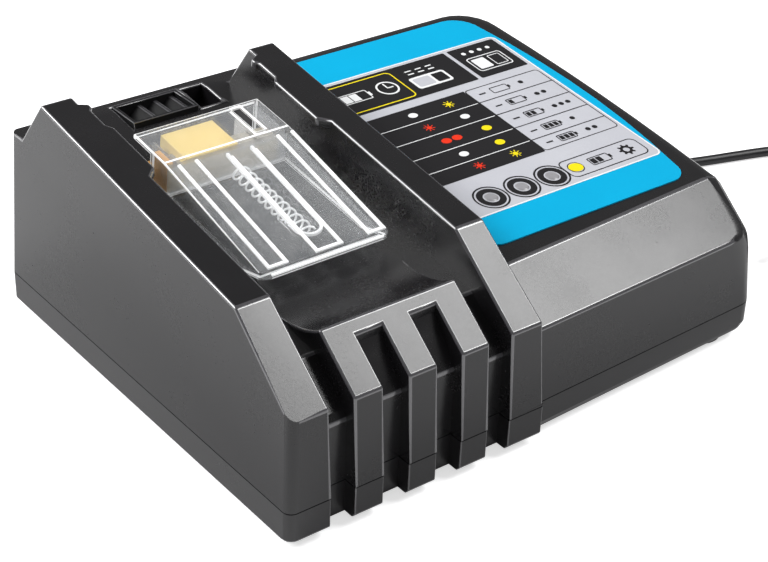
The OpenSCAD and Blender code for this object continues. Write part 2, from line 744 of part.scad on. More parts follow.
module vent_grille() color("#1b1b1d") at_case() {
    difference() {
        box([vent_x, vent_y0, vent_z0], [vent_x + vent_w, vent_y1, ledge_z + 0.4]);
        box([vent_x + grille_t, vent_y0 + grille_t, vent_z0 - 1],
            [vent_x + vent_w - grille_t, vent_y1 - grille_t, ledge_z + 2]);
    }
    for (i = [1:vane_n])
        translate([vent_x + vent_w * i / (vane_n + 1), vent_y1 - grille_t + eps, vent_z0 + 0.3])
            rotate([90, 0, 0]) linear_extrude(vent_y1 - vent_y0 - 2 * grille_t + 2 * eps) vane_profile();
}

duct_t = 1.5;
duct_y = blower_y + blower_d / 2 + 1;
duct_back = body_d - wall - 3.4;
lid_t = 2;
blower_top = blower_z + blower_h + lid_t;

duct_top = blower_top + slide_gap;

module duct_outline() polygon([
    [duct_y, blower_z], [duct_back, blower_z], [duct_back, vent_z0], [vent_y0 - 1, vent_z0],
    [vent_y0 - 1, duct_top], [duct_y, duct_top]]);

module duct_bore() polygon([
    [duct_y - 1, blower_z + duct_t], [duct_back - duct_t, blower_z + duct_t],
    [duct_back - duct_t, vent_z0 + 1], [vent_y0 - 1 + duct_t, vent_z0 + 1],
    [vent_y0 - 1 + duct_t, duct_top + duct_t],
    [duct_y + duct_t, duct_top + duct_t], [duct_y + duct_t, blower_z + blower_h - duct_t],
    [duct_y - 1, blower_z + blower_h - duct_t]]);

module air_duct() color("#2a2a2d") at_case() difference() {
    along_x(vent_x - 0.8, vent_x + vent_w + 0.8) duct_outline();
    along_x(vent_x - 0.8 + duct_t, vent_x + vent_w + 0.8 - duct_t) duct_bore();
}

outlet_x0 = vent_x - 0.8;
outlet_x1 = vent_x + vent_w + 0.8;

module blower_housing() color("#232326") at_case() difference() {
    union() {
        rod([blower_x, blower_y, blower_z], blower_d / 2, blower_h);
        box([outlet_x0, blower_y, blower_z], [outlet_x1, duct_y, blower_z + blower_h]);
    }
    rod([blower_x, blower_y, blower_z + 1.5], blower_d / 2 - 1.5, blower_h);
    box([outlet_x0 + 1.5, blower_y, blower_z + 1.5], [outlet_x1 - 1.5, duct_y + 1, blower_z + blower_h + 1]);
    rod([blower_x, blower_y, blower_z - 1], 14, 4);
}

module blower_lid() color("#232326") at_case() union() {
    rod([blower_x, blower_y, blower_z + blower_h], blower_d / 2, lid_t);
    box([outlet_x0, blower_y, blower_z + blower_h], [outlet_x1, duct_y, blower_z + blower_h + lid_t]);
}

wheel_z = blower_z + 3;
wheel_h = blower_h - 5;
motor_d = 16;

module blower_motor() color("#6d7075") at_case() {
    rod([blower_x, blower_y, wheel_z + 8], motor_d / 2, blower_z + blower_h - wheel_z - 8);
    rod([blower_x, blower_y, wheel_z], shaft_d / 2, 9);
}

module blower_wheel() color("#303135") at_case() translate([blower_x, blower_y, wheel_z]) {
    difference() {
        union() {
            cylinder(r = wheel_d / 2 - 0.5, h = 1.4);
            cylinder(r = shaft_d / 2 + 2.2, h = 7);
        }
        translate([0, 0, -1]) cylinder(r = shaft_d / 2 + 0.06, h = 20);
    }
    for (i = [0:wheel_blades - 1]) rotate([0, 0, i * 360 / wheel_blades])
        translate([wheel_d / 2 - 5.4, 0, 1.4 - eps]) rotate([0, 0, 28])
            box([-0.2, -0.35, 0], [4.6, 0.35, wheel_h - 1.4]);
    translate([0, 0, wheel_h - 1.2]) difference() {
        cylinder(r = wheel_d / 2, h = 1.2);
        translate([0, 0, -1]) cylinder(r = wheel_d / 2 - 1.6, h = 4);
    }
}

// ---------------------------------------------------------------- electronics

module main_board() color("#1d5c3a") at_case() difference() {
    box([board_x0, board_y0, board_z], [board_x1, board_y1, board_top]);
    for (p = board_posts) rod([p[0], p[1], 0], 1.3, 20);
}

// Sets a component on the board: its place spreads with the board, its size follows the tighter side
module on_board(at) at_case()
    translate([board_x0 + at[0] * board_kx, board_y0 + at[1] * board_ky, board_top])
        scale(board_k) children();

transformer_at = [106.5, 46];

module transformer() color("#c9a227") on_board(transformer_at) {
    box([-17, -14, 0], [17, 14, 4]);
    difference() {
        box([-15, -18, 4], [15, 18, 30]);
        for (y = [-1, 1]) box([-9, y > 0 ? 6 : -13, 8], [9, y > 0 ? 13 : -6, 40]);
    }
    for (y = [-1, 1]) box([-11, y > 0 ? 6.4 : -12.6, 6], [11, y > 0 ? 12.6 : -6.4, 28]);
}

bulk_at = [[145.5, 22], [145.5, 48]];
bulk_r = 10.5;

// Can capacitor with its rolled edge
module can(r, h) rotate_extrude() polygon([
    [0, 0], [r, 0], [r, 1.8], [r - 0.5, 2.4], [r, 3], [r, h - 0.8], [r - 0.8, h], [0, h]]);

module bulk_capacitors() color("#26324a") for (p = bulk_at) on_board(p) can(bulk_r, 28);

output_at = [[44, 18], [44, 33], [44, 48]];
output_r = 6.3;

module output_capacitors() color("#3a3f46") for (p = output_at) on_board(p) can(output_r, 20);

sink_at = [68, 43];
sink_l = 50;
sink_pitch = 7;
sink_h = 28;
sink_t = 3;

module heat_sink() color("#b4b7bb") on_board(sink_at) {
    box([0, -sink_l / 2, 0], [sink_t, sink_l / 2, sink_h]);
    for (y = [-sink_l / 2:sink_pitch:sink_l / 2 - 1]) box([-8, y, 0], [eps, y + 1.2, sink_h]);
}

transistor_ys = [-18, -2, 14];

module power_transistors() color("#26262a") on_board(sink_at) for (y = transistor_ys)
    translate([sink_t, y, 0]) {
        box([0, -5, 6], [1.3, 5, 22]);
        box([1.2, -5, 6], [4.5, 5, 15]);
        for (d = [-2.5, 0, 2.5]) box([2.2, d - 0.4, 0], [2.8, d + 0.4, 6.5]);
    }

choke_at = [132.5, 67];
choke_r = 5.8;

module mains_choke() color("#a5652a") on_board(choke_at) {
    rotate_extrude() translate([choke_r, 3.2]) circle(r = 2.7);
    for (d = [-4.6, 4.6]) rod([d, d, 0], 0.5, 3);
}

fuse_at = [127.5, 13];

module fuse() color("#d9dcdf") on_board(fuse_at) {
    for (y = [-9, 7]) box([-3, y, 0], [3, y + 2, 6]);
    translate([0, -10, 4]) rotate([-90, 0, 0]) cylinder(r = 2.5, h = 20);
}

buzzer_at = [18, 22];

module buzzer() color("#1a1a1c") on_board(buzzer_at) difference() {
    cylinder(r = 7, h = 5);
    translate([0, 0, 4]) cylinder(r = 1, h = 3);
}

terminal_at = [146.8, 76];
terminal_z = 3.8;

module mains_terminal() color("#dfe1e3") on_board(terminal_at) box([-4.5, -8, 0], [4.5, 0, 8]);

// Lead from the board to one blade; it rises in a plane of constant x
function battery_path(x, y, top_y, top_z) = [
    [x, y, board_top], [x, y, board_top + 4], [x, y + 1, board_top + 10],
    for (k = [1:4]) [
        x, y + 1 + (top_y - y - 4) * k / 5, board_top + 10 + (top_z - board_top - 13.5) * sqrt(k / 5)],
    [x, top_y - 3, top_z - 3.9], [x, top_y, top_z - 1.6], [x, top_y, top_z]];

blade_foot_s = block_s0 + 7;
battery_pad_y = board_y0 + 60 * board_ky;
lead_top_y = floor_low_y + blade_foot_s * cos(floor_tilt) + 8 * sin(floor_tilt);
lead_top_z = floor_low_z + blade_foot_s * sin(floor_tilt) - 8 * cos(floor_tilt);

module battery_leads() color("#b3251e") at_case() for (i = [0, 1])
    let (p = battery_path(blade_xs[i] + blade_t / 2, battery_pad_y, lead_top_y, lead_top_z - 0.05))
        tube(p, [for (q = p) [1, 0, 0]], 1.2, 8);

// ---------------------------------------------------------------- mains lead

guard_y0 = body_d - wall - 2;
exit_y = guard_y0 + guard_l;
guard_bore = cord_r + 0.1;
guard_notches = 5;

module cord_guard() color("#1b1b1d") at_case() translate([guard_x, guard_y0, seam_z]) rotate([-90, 0, 0])
    difference() {
        rotate_extrude() polygon([
            [guard_bore, 0], [6.6, 0], [6.6, 1.5], [guard_neck_r, 1.5], [guard_neck_r, wall + 2.2],
            [5.6, wall + 2.4], [4.9, 9], [cord_r + 1, guard_l], [guard_bore, guard_l]]);
        for (i = [0:guard_notches - 1]) for (a = [0, 180]) rotate([0, 0, a + (i % 2) * 90])
            box([guard_bore + 0.7, -8, 10.5 + i * 3.6], [9, 8, 12 + i * 3.6]);
    }

module cord_clamp() color("#2a2a2d") at_case() difference() {
    box([guard_x - 9, clamp_y - 3, seam_z - cord_r], [guard_x + 9, clamp_y + 3, seam_z + cord_r + 1.6]);
    translate([guard_x, clamp_y - 4, seam_z]) rotate([-90, 0, 0]) cylinder(r = cord_r + 0.05, h = 8);
    box([guard_x - cord_r - 0.05, clamp_y - 4, seam_z - 3], [guard_x + cord_r + 0.05, clamp_y + 4, seam_z]);
    for (d = [-clamp_dx, clamp_dx]) rod([guard_x + d, clamp_y, 0], 1.3, 30);
}

module clamp_screws() color("#8b8d92") at_case() for (d = [-clamp_dx, clamp_dx])
    translate([guard_x + d, clamp_y, seam_z + cord_r + 1.6]) mirror([0, 0, 1]) screw_up(1, 12, 2.2, 1.6);

lead_end = [
    board_x0 + board_kx * terminal_at[0], board_y0 + board_ky * terminal_at[1],
    board_top + board_k * terminal_z];
lead_path = [
    [guard_x, body_d, seam_z], [guard_x, body_d - 5, seam_z], [guard_x, clamp_y + 4, seam_z],
    [guard_x, clamp_y - 6, seam_z], [guard_x - 0.7, clamp_y - 15, seam_z + 0.4],
    [guard_x - 2.6, clamp_y - 25, seam_z + 0.9], [guard_x - 5.6, clamp_y - 35, seam_z + 1.2],
    lead_end + [1, 14, 0], lead_end + [0, 7, 0], lead_end + [0, 0.05, 0]];

module mains_lead() color("#1d1d1f") at_case() tube(lead_path, level_sides(lead_path), cord_r, 8);

coil_centre = [221.45, -27.5];
coil_turns = 10.447;
coil_start = 71;
coil_z = 2.75;
coil_layers = 4;
coil_rings = 24;
coil_layer_turns = coil_turns / coil_layers;
coil_swing = coil_pitch * coil_layer_turns;
coil_out = coil_d / 2 + coil_swing / 2;

// Turns go in and out again, layer by layer; each climb is spread over a half turn
function coil_layer(n) = floor(min(n, coil_turns - eps) / coil_layer_turns);
function coil_radius(n) = let (k = coil_layer(n), u = n - k * coil_layer_turns)
    k % 2 == 0 ? coil_out - coil_pitch * u : coil_out - coil_swing + coil_pitch * u;
function coil_rise(n) = len([for (k = [1:coil_layers - 1]) if (n > k * coil_layer_turns + 0.25) 1])
    + max([0, for (k = [1:coil_layers - 1])
        let (u = (n - k * coil_layer_turns + 0.25) * 2) if (u > 0 && u <= 1) u]);
function coil_point(n) = let (a = coil_start - 360 * n, r = coil_radius(n))
    [coil_centre[0] + r * cos(a), coil_centre[1] + r * sin(a), coil_z + coil_pitch * coil_rise(n)];
coil_steps = round(coil_turns * coil_rings);
coil_wound = [for (i = [0:coil_steps]) coil_point(i * coil_turns / coil_steps)];
coil_first = unit(coil_wound[1] - coil_wound[0]);
coil_last = unit(coil_wound[coil_steps] - coil_wound[coil_steps - 1]);
coil_path = concat(
    [coil_wound[0] - cord_d * coil_first], coil_wound, [coil_wound[coil_steps] + cord_d * coil_last]);

module cord_coil() color("#1d1d1f") tube(coil_path, level_sides(coil_path), cord_r, 6);

echo(coil_least_gap_mm = self_gap(coil_wound, cord_r, coil_rings / 2));

// Route of the free cord, from the back of the case through its guard to the coil
exit_x = guard_x - body_w / 2;
exit_py = exit_y - body_d / 2;
exit_z = seam_z + foot_h;
bend_r = 21.75;
bend_z = [11, 9.3, 7.4, 5.6, 4, 2.8, 2.2];
route = [
    [exit_x, body_d / 2, exit_z], [exit_x, body_d / 2 + 9, exit_z], [exit_x, body_d / 2 + 18, exit_z],
    [exit_x, exit_py, exit_z], [exit_x, exit_py + 5, 13.2], [exit_x, exit_py + 9.5, 12.3],
    for (k = [0:6]) [
        exit_x + bend_r * (1 - cos(15 * k)), exit_py + 14 + bend_r * sin(15 * k), bend_z[k]],
    [103.4, 143.2, 2], [111, 140.4, 2], [117.8, 134.8, 2], [123.6, 127, 2],
    [127.8, 118, 2], [130.6, 108.2, 2], [132.4, 98, 2], [133.6, 87.6, 2], [134.4, 77, 2],
    [135.2, 66.4, 2], [136.6, 56, 2], [139.4, 46, 2], [144, 37.2, 2], [150.8, 29.3, 2],
    [159.6, 23.4, 2], [169.4, 19.8, 2], [179.7, 16.7, 2], [190.1, 13.5, 2], [200.8, 9.9, 2.1],
    coil_path[0] - 15.5 * coil_first - [0, 0, 0.3], coil_path[0] - 7 * coil_first,
    coil_path[0]];

module cord_run() color("#1d1d1f") tube(route, level_sides(route), cord_r, 8);

tail_start = coil_path[len(coil_path) - 1];
plug_z = 6.9;
plug_back = [tail_start[0] - 29, tail_start[1], plug_z];
// Down from the coil to the plug in two equal bends
tail_knee = tail_start + 4 * coil_last;
tail_foot = plug_back + [2, 0, 0];
tail_dx = tail_knee[0] - tail_foot[0];
tail_dz = tail_knee[2] - plug_z;
tail_r = (tail_dx * tail_dx + tail_dz * tail_dz) / (4 * tail_dz);
tail_a = asin(tail_dx / 2 / tail_r);
tail_n = 4;
function tail_bend(k) = let (a = tail_a * k / tail_n) [tail_r * sin(a), 0, tail_r * (1 - cos(a))];
tail = concat(
    [tail_start],
    [for (k = [0:tail_n]) tail_knee - tail_bend(k)],
    [for (k = [tail_n - 1:-1:0]) tail_foot + tail_bend(k)],
    [plug_back]);

module cord_tail() color("#1d1d1f") tube(tail, level_sides(tail), cord_r, 8);

function path_length(p) = len(p) < 2 ? 0 : sum([for (i = [1:len(p) - 1]) norm(p[i] - p[i - 1])]);
function sum(v, i = 0) = i == len(v) ? 0 : v[i] + sum(v, i + 1);
echo(cord_length_mm = path_length(route) + path_length(coil_path) + path_length(tail));

tie_a = 205;
tie_t = 0.8;
tie_w = 8;
tie_in = coil_out - coil_swing - cord_r - 0.4;
tie_out = coil_out + cord_r + 0.4;
tie_top = coil_z + coil_pitch * (coil_layers - 1) + cord_r + 0.3;

module cord_tie() color("#2b2b2e") translate([coil_centre[0], coil_centre[1], 0]) rotate([0, 0, tie_a])
    difference() {
        box([tie_in - tie_t, -tie_w / 2, 0], [tie_out + tie_t, tie_w / 2, tie_top + tie_t]);
        box([tie_in, -tie_w, tie_t], [tie_out, tie_w, tie_top]);
    }

plug_l = 36;
plug_w = 26;
plug_t = 13.6;
pin_d = 4;
pin_l = 19;
pin_gap = 18.6;

module at_plug() translate(plug_back) rotate([0, 0, 180]) children();

module plug_body() color("#1d1d1f") at_plug() {
    intersection() {
        hull() {
            translate([plug_l - 4, 0, 0]) cube([8, plug_w, plug_t], center = true);
            translate([14, 0, 0]) cube([4, plug_w - 4, plug_t], center = true);
            translate([7, 0, 0]) rotate([0, 90, 0]) cylinder(r = 5, h = 2);
        }
        box([0, -plug_w / 2, -plug_t / 2], [plug_l, plug_w / 2, plug_t / 2]);
    }
    rotate([0, 90, 0]) cylinder(r1 = cord_r + 0.8, r2 = 4.6, h = 9);
}

module plug_pins() color("#c9ccd1") at_plug() for (y = [-pin_gap / 2, pin_gap / 2])
    translate([plug_l, y, 0]) rotate([0, 90, 0]) {
        cylinder(r = pin_d / 2, h = pin_l - 1);
        translate([0, 0, pin_l - 1]) cylinder(r1 = pin_d / 2, r2 = pin_d / 2 - 0.7, h = 1);
    }

upper_case();
lower_case();
terminal_cover();
cover_spring();
terminal_block();
power_blades();
vent_grille();
air_duct();
blower_housing();
blower_lid();
blower_motor();
blower_wheel();
label_panel();
led_lenses();
led_board();
main_board();
transformer();
bulk_capacitors();
output_capacitors();
heat_sink();
power_transistors();
mains_choke();
fuse();
buzzer();
mains_terminal();
battery_leads();
rubber_feet();
case_screws();
board_screws();
rating_plate();
cord_guard();
cord_clamp();
clamp_screws();
mains_lead();
cord_run();
cord_coil();
cord_tail();
cord_tie();
plug_body();
plug_pins();
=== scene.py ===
"""Looks of a rapid charger for slide-on tool batteries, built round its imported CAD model."""

import json
import logging
import math
from dataclasses import dataclass, field
from enum import Enum
from functools import lru_cache
from typing import Any, Callable, Sequence

import bmesh
import bpy
from mathutils import Matrix, Vector

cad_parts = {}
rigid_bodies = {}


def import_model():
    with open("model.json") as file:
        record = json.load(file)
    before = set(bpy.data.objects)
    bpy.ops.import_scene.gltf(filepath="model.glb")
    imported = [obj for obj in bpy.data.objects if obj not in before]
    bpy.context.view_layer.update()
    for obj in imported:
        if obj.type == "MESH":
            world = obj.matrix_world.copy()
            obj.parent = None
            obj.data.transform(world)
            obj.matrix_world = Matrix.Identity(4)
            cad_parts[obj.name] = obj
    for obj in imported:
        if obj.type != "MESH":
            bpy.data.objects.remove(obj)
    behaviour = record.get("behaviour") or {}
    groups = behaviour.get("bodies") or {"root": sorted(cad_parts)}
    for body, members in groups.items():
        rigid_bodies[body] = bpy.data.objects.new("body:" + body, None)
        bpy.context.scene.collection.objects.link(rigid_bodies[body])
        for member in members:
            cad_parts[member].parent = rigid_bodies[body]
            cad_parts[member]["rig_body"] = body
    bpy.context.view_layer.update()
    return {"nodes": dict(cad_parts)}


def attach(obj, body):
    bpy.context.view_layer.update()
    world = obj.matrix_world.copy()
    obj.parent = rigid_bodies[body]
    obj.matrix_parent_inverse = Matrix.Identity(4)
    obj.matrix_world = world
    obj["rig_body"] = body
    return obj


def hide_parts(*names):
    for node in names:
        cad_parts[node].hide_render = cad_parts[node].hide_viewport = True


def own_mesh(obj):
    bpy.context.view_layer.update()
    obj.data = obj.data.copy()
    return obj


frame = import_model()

LOG = logging.getLogger("charger")
MM = 0.001

Point = tuple[float, float, float]
Flat = tuple[float, float]
Keep = Callable[[Vector, Vector], bool]
Tree = bpy.types.NodeTree
Socket = bpy.types.NodeSocket
Material = bpy.types.Material
Mesh = bpy.types.Mesh
Piece = bpy.types.Object
Shape = bmesh.types.BMesh
Face = bmesh.types.BMFace

# Limits in degrees: faces that merge, edges that are rounded, folds that stay sharp
FLAT_DEG = 0.6
ROUND_DEG = 24.0
FOLD_DEG = 20.0
ROUNDED_FOLD_DEG = 36.0
# An edge takes its rounding from this many widths on
LEAST_LENGTH = 1.6
# How far noise is drawn out along a drawn surface, and the scale of a wave for one ridge
DRAWN_STRETCH = 0.04
RIDGE_SCALE = 0.314
# Shares of the slow drift and of the fine relief in the tone, and the tones at its two ends
DRIFT_SHARE = 0.65
RELIEF_SHARE = 0.35
TONE_LOW = 0.3
TONE_HIGH = 0.7


# ---- sizes shared with the CAD model


@dataclass(frozen=True)
class CaseFrame:
    """The case's own frame in millimetres, as the CAD source draws it, and the slopes on it.

    Attributes:
        half_width: From the left face to the part's origin.
        half_depth: From the front of the pillars to the origin.
        foot: Height of the underside above the table.
        label_y: Front edge of the label plane.
        label_z: Height of that edge.
        label_tilt: Slope of the label plane, in degrees.
        floor_y: Front end of the bay's sloping floor.
        floor_z: Height of that end.
        floor_tilt: Slope of the bay floor, in degrees.
    """

    half_width: float = 97.75
    half_depth: float = 80.5
    foot: float = 2.2
    label_y: float = 24.0
    label_z: float = 50.0
    label_tilt: float = math.degrees(math.atan(12.9 / 126.0))
    floor_y: float = 41.9
    floor_z: float = 48.6
    floor_tilt: float = math.degrees(math.atan(14.2 / 108.8))

    def point(self, x: float, y: float, z: float) -> Vector:
        """Gives a point of the case frame in the row frame, in metres."""
        return Vector((x - self.half_width, y - self.half_depth, z + self.foot)) * MM

    def _on_slope(self, x: float, s: float, h: float, y: float, z: float, tilt: float) -> Vector:
        """Gives a point that lies s along and h above a slope that starts at y, z."""
        a = math.radians(tilt)
        return self.point(x, y + s * math.cos(a) - h * math.sin(a), z + s * math.sin(a) + h * math.cos(a))

    def on_label(self, x: float, s: float, h: float) -> Vector:
        """Gives a point that lies s along and h above the label plane."""
        return self._on_slope(x, s, h, self.label_y, self.label_z, self.label_tilt)

    def on_floor(self, x: float, s: float, h: float) -> Vector:
        """Gives a point that lies s along and h above the bay floor."""
        return self._on_slope(x, s, h, self.floor_y, self.floor_z, self.floor_tilt)

    def floor_place(self, where: Vector) -> Flat:
        """Gives how far a point lies along the bay floor and above it, in mm."""
        a = math.radians(self.floor_tilt)
        y, z = (where - self.point(0.0, self.floor_y, self.floor_z)).yz / MM
        return y * math.cos(a) + z * math.sin(a), z * math.cos(a) - y * math.sin(a)


CASE = CaseFrame()


# ---- node helpers


def linear(hex_colour: str) -> tuple[float, float, float, float]:
    """Turns an sRGB hex colour into linear values.

    Args:
        hex_colour: Six hex digits, with or without a leading #.

    Returns:
        Red, green, blue and an alpha of 1.
    """
    digits = hex_colour.lstrip("#")
    parts = [int(digits[i:i + 2], 16) / 255 for i in (0, 2, 4)]
    r, g, b = (c / 12.92 if c <= 0.04045 else ((c + 0.055) / 1.055) ** 2.4 for c in parts)
    return (r, g, b, 1.0)


def add_node(
    tree: Tree,
    kind: str,
    options: dict[str, Any] | None = None,
    values: dict[Any, Any] | None = None,
    links: dict[Any, Socket] | None = None,
) -> bpy.types.Node:
    """Adds one node with its settings, its socket values and its incoming links.

    Args:
        tree: The node tree.
        kind: The node's type name.
        options: Properties of the node itself.
        values: Values of unlinked input sockets, by name or number.
        links: Sockets to link from, by name or number of the input.

    Returns:
        The new node.
    """
    node = tree.nodes.new(kind)
    for key, value in (options or {}).items():
        setattr(node, key, value)
    for key, value in (values or {}).items():
        node.inputs[key].default_value = value
    for key, socket in (links or {}).items():
        tree.links.new(socket, node.inputs[key])
    return node


def out(tree: Tree, kind: str, *settings: dict[Any, Any], **named: dict[Any, Any]) -> Socket:
    """Adds one node, as add_node does, and gives its first output."""
    return add_node(tree, kind, *settings, **named).outputs[0]


# ---- finishes


class Pattern(Enum):
    """How a surface was made, which settles its fine relief."""

    MOULDED = "moulded"
    DRAWN = "drawn"
    WOUND = "wound"
    WOVEN = "woven"
    LAMINATE = "laminate"


@dataclass(frozen=True)
class Finish:
    """One real material and the way its surface was made.

    Attributes:
        name: Name of the material, for what it is.
        colour: Its colour, as sRGB hex.
        shade: A near colour that drifts over it, as sRGB hex.
        roughness: Middle roughness.
        spread: How far the roughness wanders to either side.
        metallic: 1 for bare metal.
        ior: Index of refraction.
        transmission: Share of light let through.
        coat: Clear coat over it.
        specular: Strength of its mirror-like reflection.
        alpha: Share of light that doesn't pass straight through.
        glow: Strength of light of its own colour, painted light on a part that is no lamp.
        pattern: How the surface was made.
        size_mm: Spacing of the fine relief.
        relief_mm: Depth of the fine relief.
        drift_mm: Size of the slow change of colour and gloss.
        turn: Direction of a drawn, wound or woven pattern, as angles in degrees.
    """

    name: str
    colour: str
    shade: str
    roughness: float
    spread: float = 0.05
    metallic: float = 0.0
    ior: float = 1.5
    transmission: float = 0.0
    coat: float = 0.0
    specular: float = 0.5
    alpha: float = 1.0
    glow: float = 0.0
    pattern: Pattern = Pattern.MOULDED
    size_mm: float = 0.6
    relief_mm: float = 0.01
    drift_mm: float = 30.0
    turn: Point = (0.0, 0.0, 0.0)

    def _relief(self, tree: Tree, where: Socket) -> Socket:
        """Makes the height of the fine relief.

        Args:
            tree: The material's node tree.
            where: Object coordinates, in metres.

        Returns:
            A height between 0 and 1.
        """
        per_metre = 1.0 / (self.size_mm * MM)
        turned = out(
            tree, "ShaderNodeMapping", values={"Rotation": [math.radians(a) for a in self.turn]},
            links={"Vector": where},
        )
        if self.pattern is Pattern.MOULDED:
            return out(
                tree, "ShaderNodeTexNoise", values={"Scale": per_metre, "Detail": 3.0, "Roughness": 0.55},
                links={"Vector": turned},
            )
        if self.pattern is Pattern.DRAWN:
            stretched = out(
                tree, "ShaderNodeMapping", values={"Scale": (DRAWN_STRETCH, 1.0, 1.0)},
                links={"Vector": turned},
            )
            return out(
                tree, "ShaderNodeTexNoise", values={"Scale": per_metre, "Detail": 2.0},
                links={"Vector": stretched},
            )
        waves = [
            add_node(
                tree, "ShaderNodeTexWave", {"bands_direction": way},
                {"Scale": per_metre * RIDGE_SCALE, "Distortion": 0.4}, {"Vector": turned},
            ).outputs["Fac"]
            for way in ("X" if self.pattern is Pattern.WOUND else "XY")
        ]
        if self.pattern is Pattern.WOUND:
            return waves[0]
        joined = "MAXIMUM" if self.pattern is Pattern.LAMINATE else "MULTIPLY"
        return out(tree, "ShaderNodeMath", {"operation": joined}, links=dict(enumerate(waves)))

    @lru_cache(maxsize=None)
    def material(self) -> Material:
        """Builds the material once, and gives it again after that."""
        material = bpy.data.materials.new(self.name)
        material.use_nodes = True
        tree = material.node_tree
        tree.nodes.clear()
        where = add_node(tree, "ShaderNodeTexCoord").outputs["Object"]
        drift = out(
            tree, "ShaderNodeTexNoise",
            values={"Scale": 1.0 / (self.drift_mm * MM), "Detail": 4.0, "Roughness": 0.6},
            links={"Vector": where},
        )
        relief = self._relief(tree, where)
        weigh = {"operation": "MULTIPLY_ADD"}
        mixed = out(tree, "ShaderNodeMath", weigh, {1: RELIEF_SHARE, 2: 0.0}, {0: relief})
        tone = out(tree, "ShaderNodeMath", weigh, {1: DRIFT_SHARE}, {0: drift, 2: mixed})
        ramp = add_node(tree, "ShaderNodeValToRGB", links={0: tone})
        ends = ((TONE_LOW, self.shade), (TONE_HIGH, self.colour))
        for element, (place, colour) in zip(ramp.color_ramp.elements, ends):
            element.position = place
            element.color = linear(colour)
        low, high = self.roughness - self.spread, self.roughness + self.spread
        gloss = out(
            tree, "ShaderNodeMapRange", values={1: TONE_LOW, 2: TONE_HIGH, 3: low, 4: high}, links={0: tone}
        )
        bump = out(
            tree, "ShaderNodeBump", values={"Strength": 1.0, "Distance": self.relief_mm * MM},
            links={"Height": relief},
        )
        values: dict[Any, Any] = {"Metallic": self.metallic, "Coat Weight": self.coat, "Alpha": self.alpha}
        if not self.metallic:
            values |= {
                "IOR": self.ior, "Transmission Weight": self.transmission,
                "Specular IOR Level": self.specular,
            }
        # A glow is painted light: the part shines though it is no lamp
        if self.glow:
            values |= {"Emission Color": linear(self.colour), "Emission Strength": self.glow}
        shader = add_node(
            tree, "ShaderNodeBsdfPrincipled", values=values,
            links={"Base Color": ramp.outputs[0], "Roughness": gloss, "Normal": bump},
        )
        add_node(tree, "ShaderNodeOutputMaterial", links={"Surface": shader.outputs[0]})
        material.diffuse_color = linear(self.colour)
        return material


DRAWN_METAL: dict[str, Any] = {"metallic": 1.0, "pattern": Pattern.DRAWN}
CLEAR_RESIN: dict[str, Any] = {"ior": 1.585}


def screen_ink(name: str, colour: str, shade: str) -> Finish:
    """Gives an ink that lies thin and even on the film, with hardly any gloss of its own."""
    return Finish(
        "screen_ink_" + name, colour, shade, 0.5, 0.03, specular=0.15, size_mm=0.5, relief_mm=0.003
    )


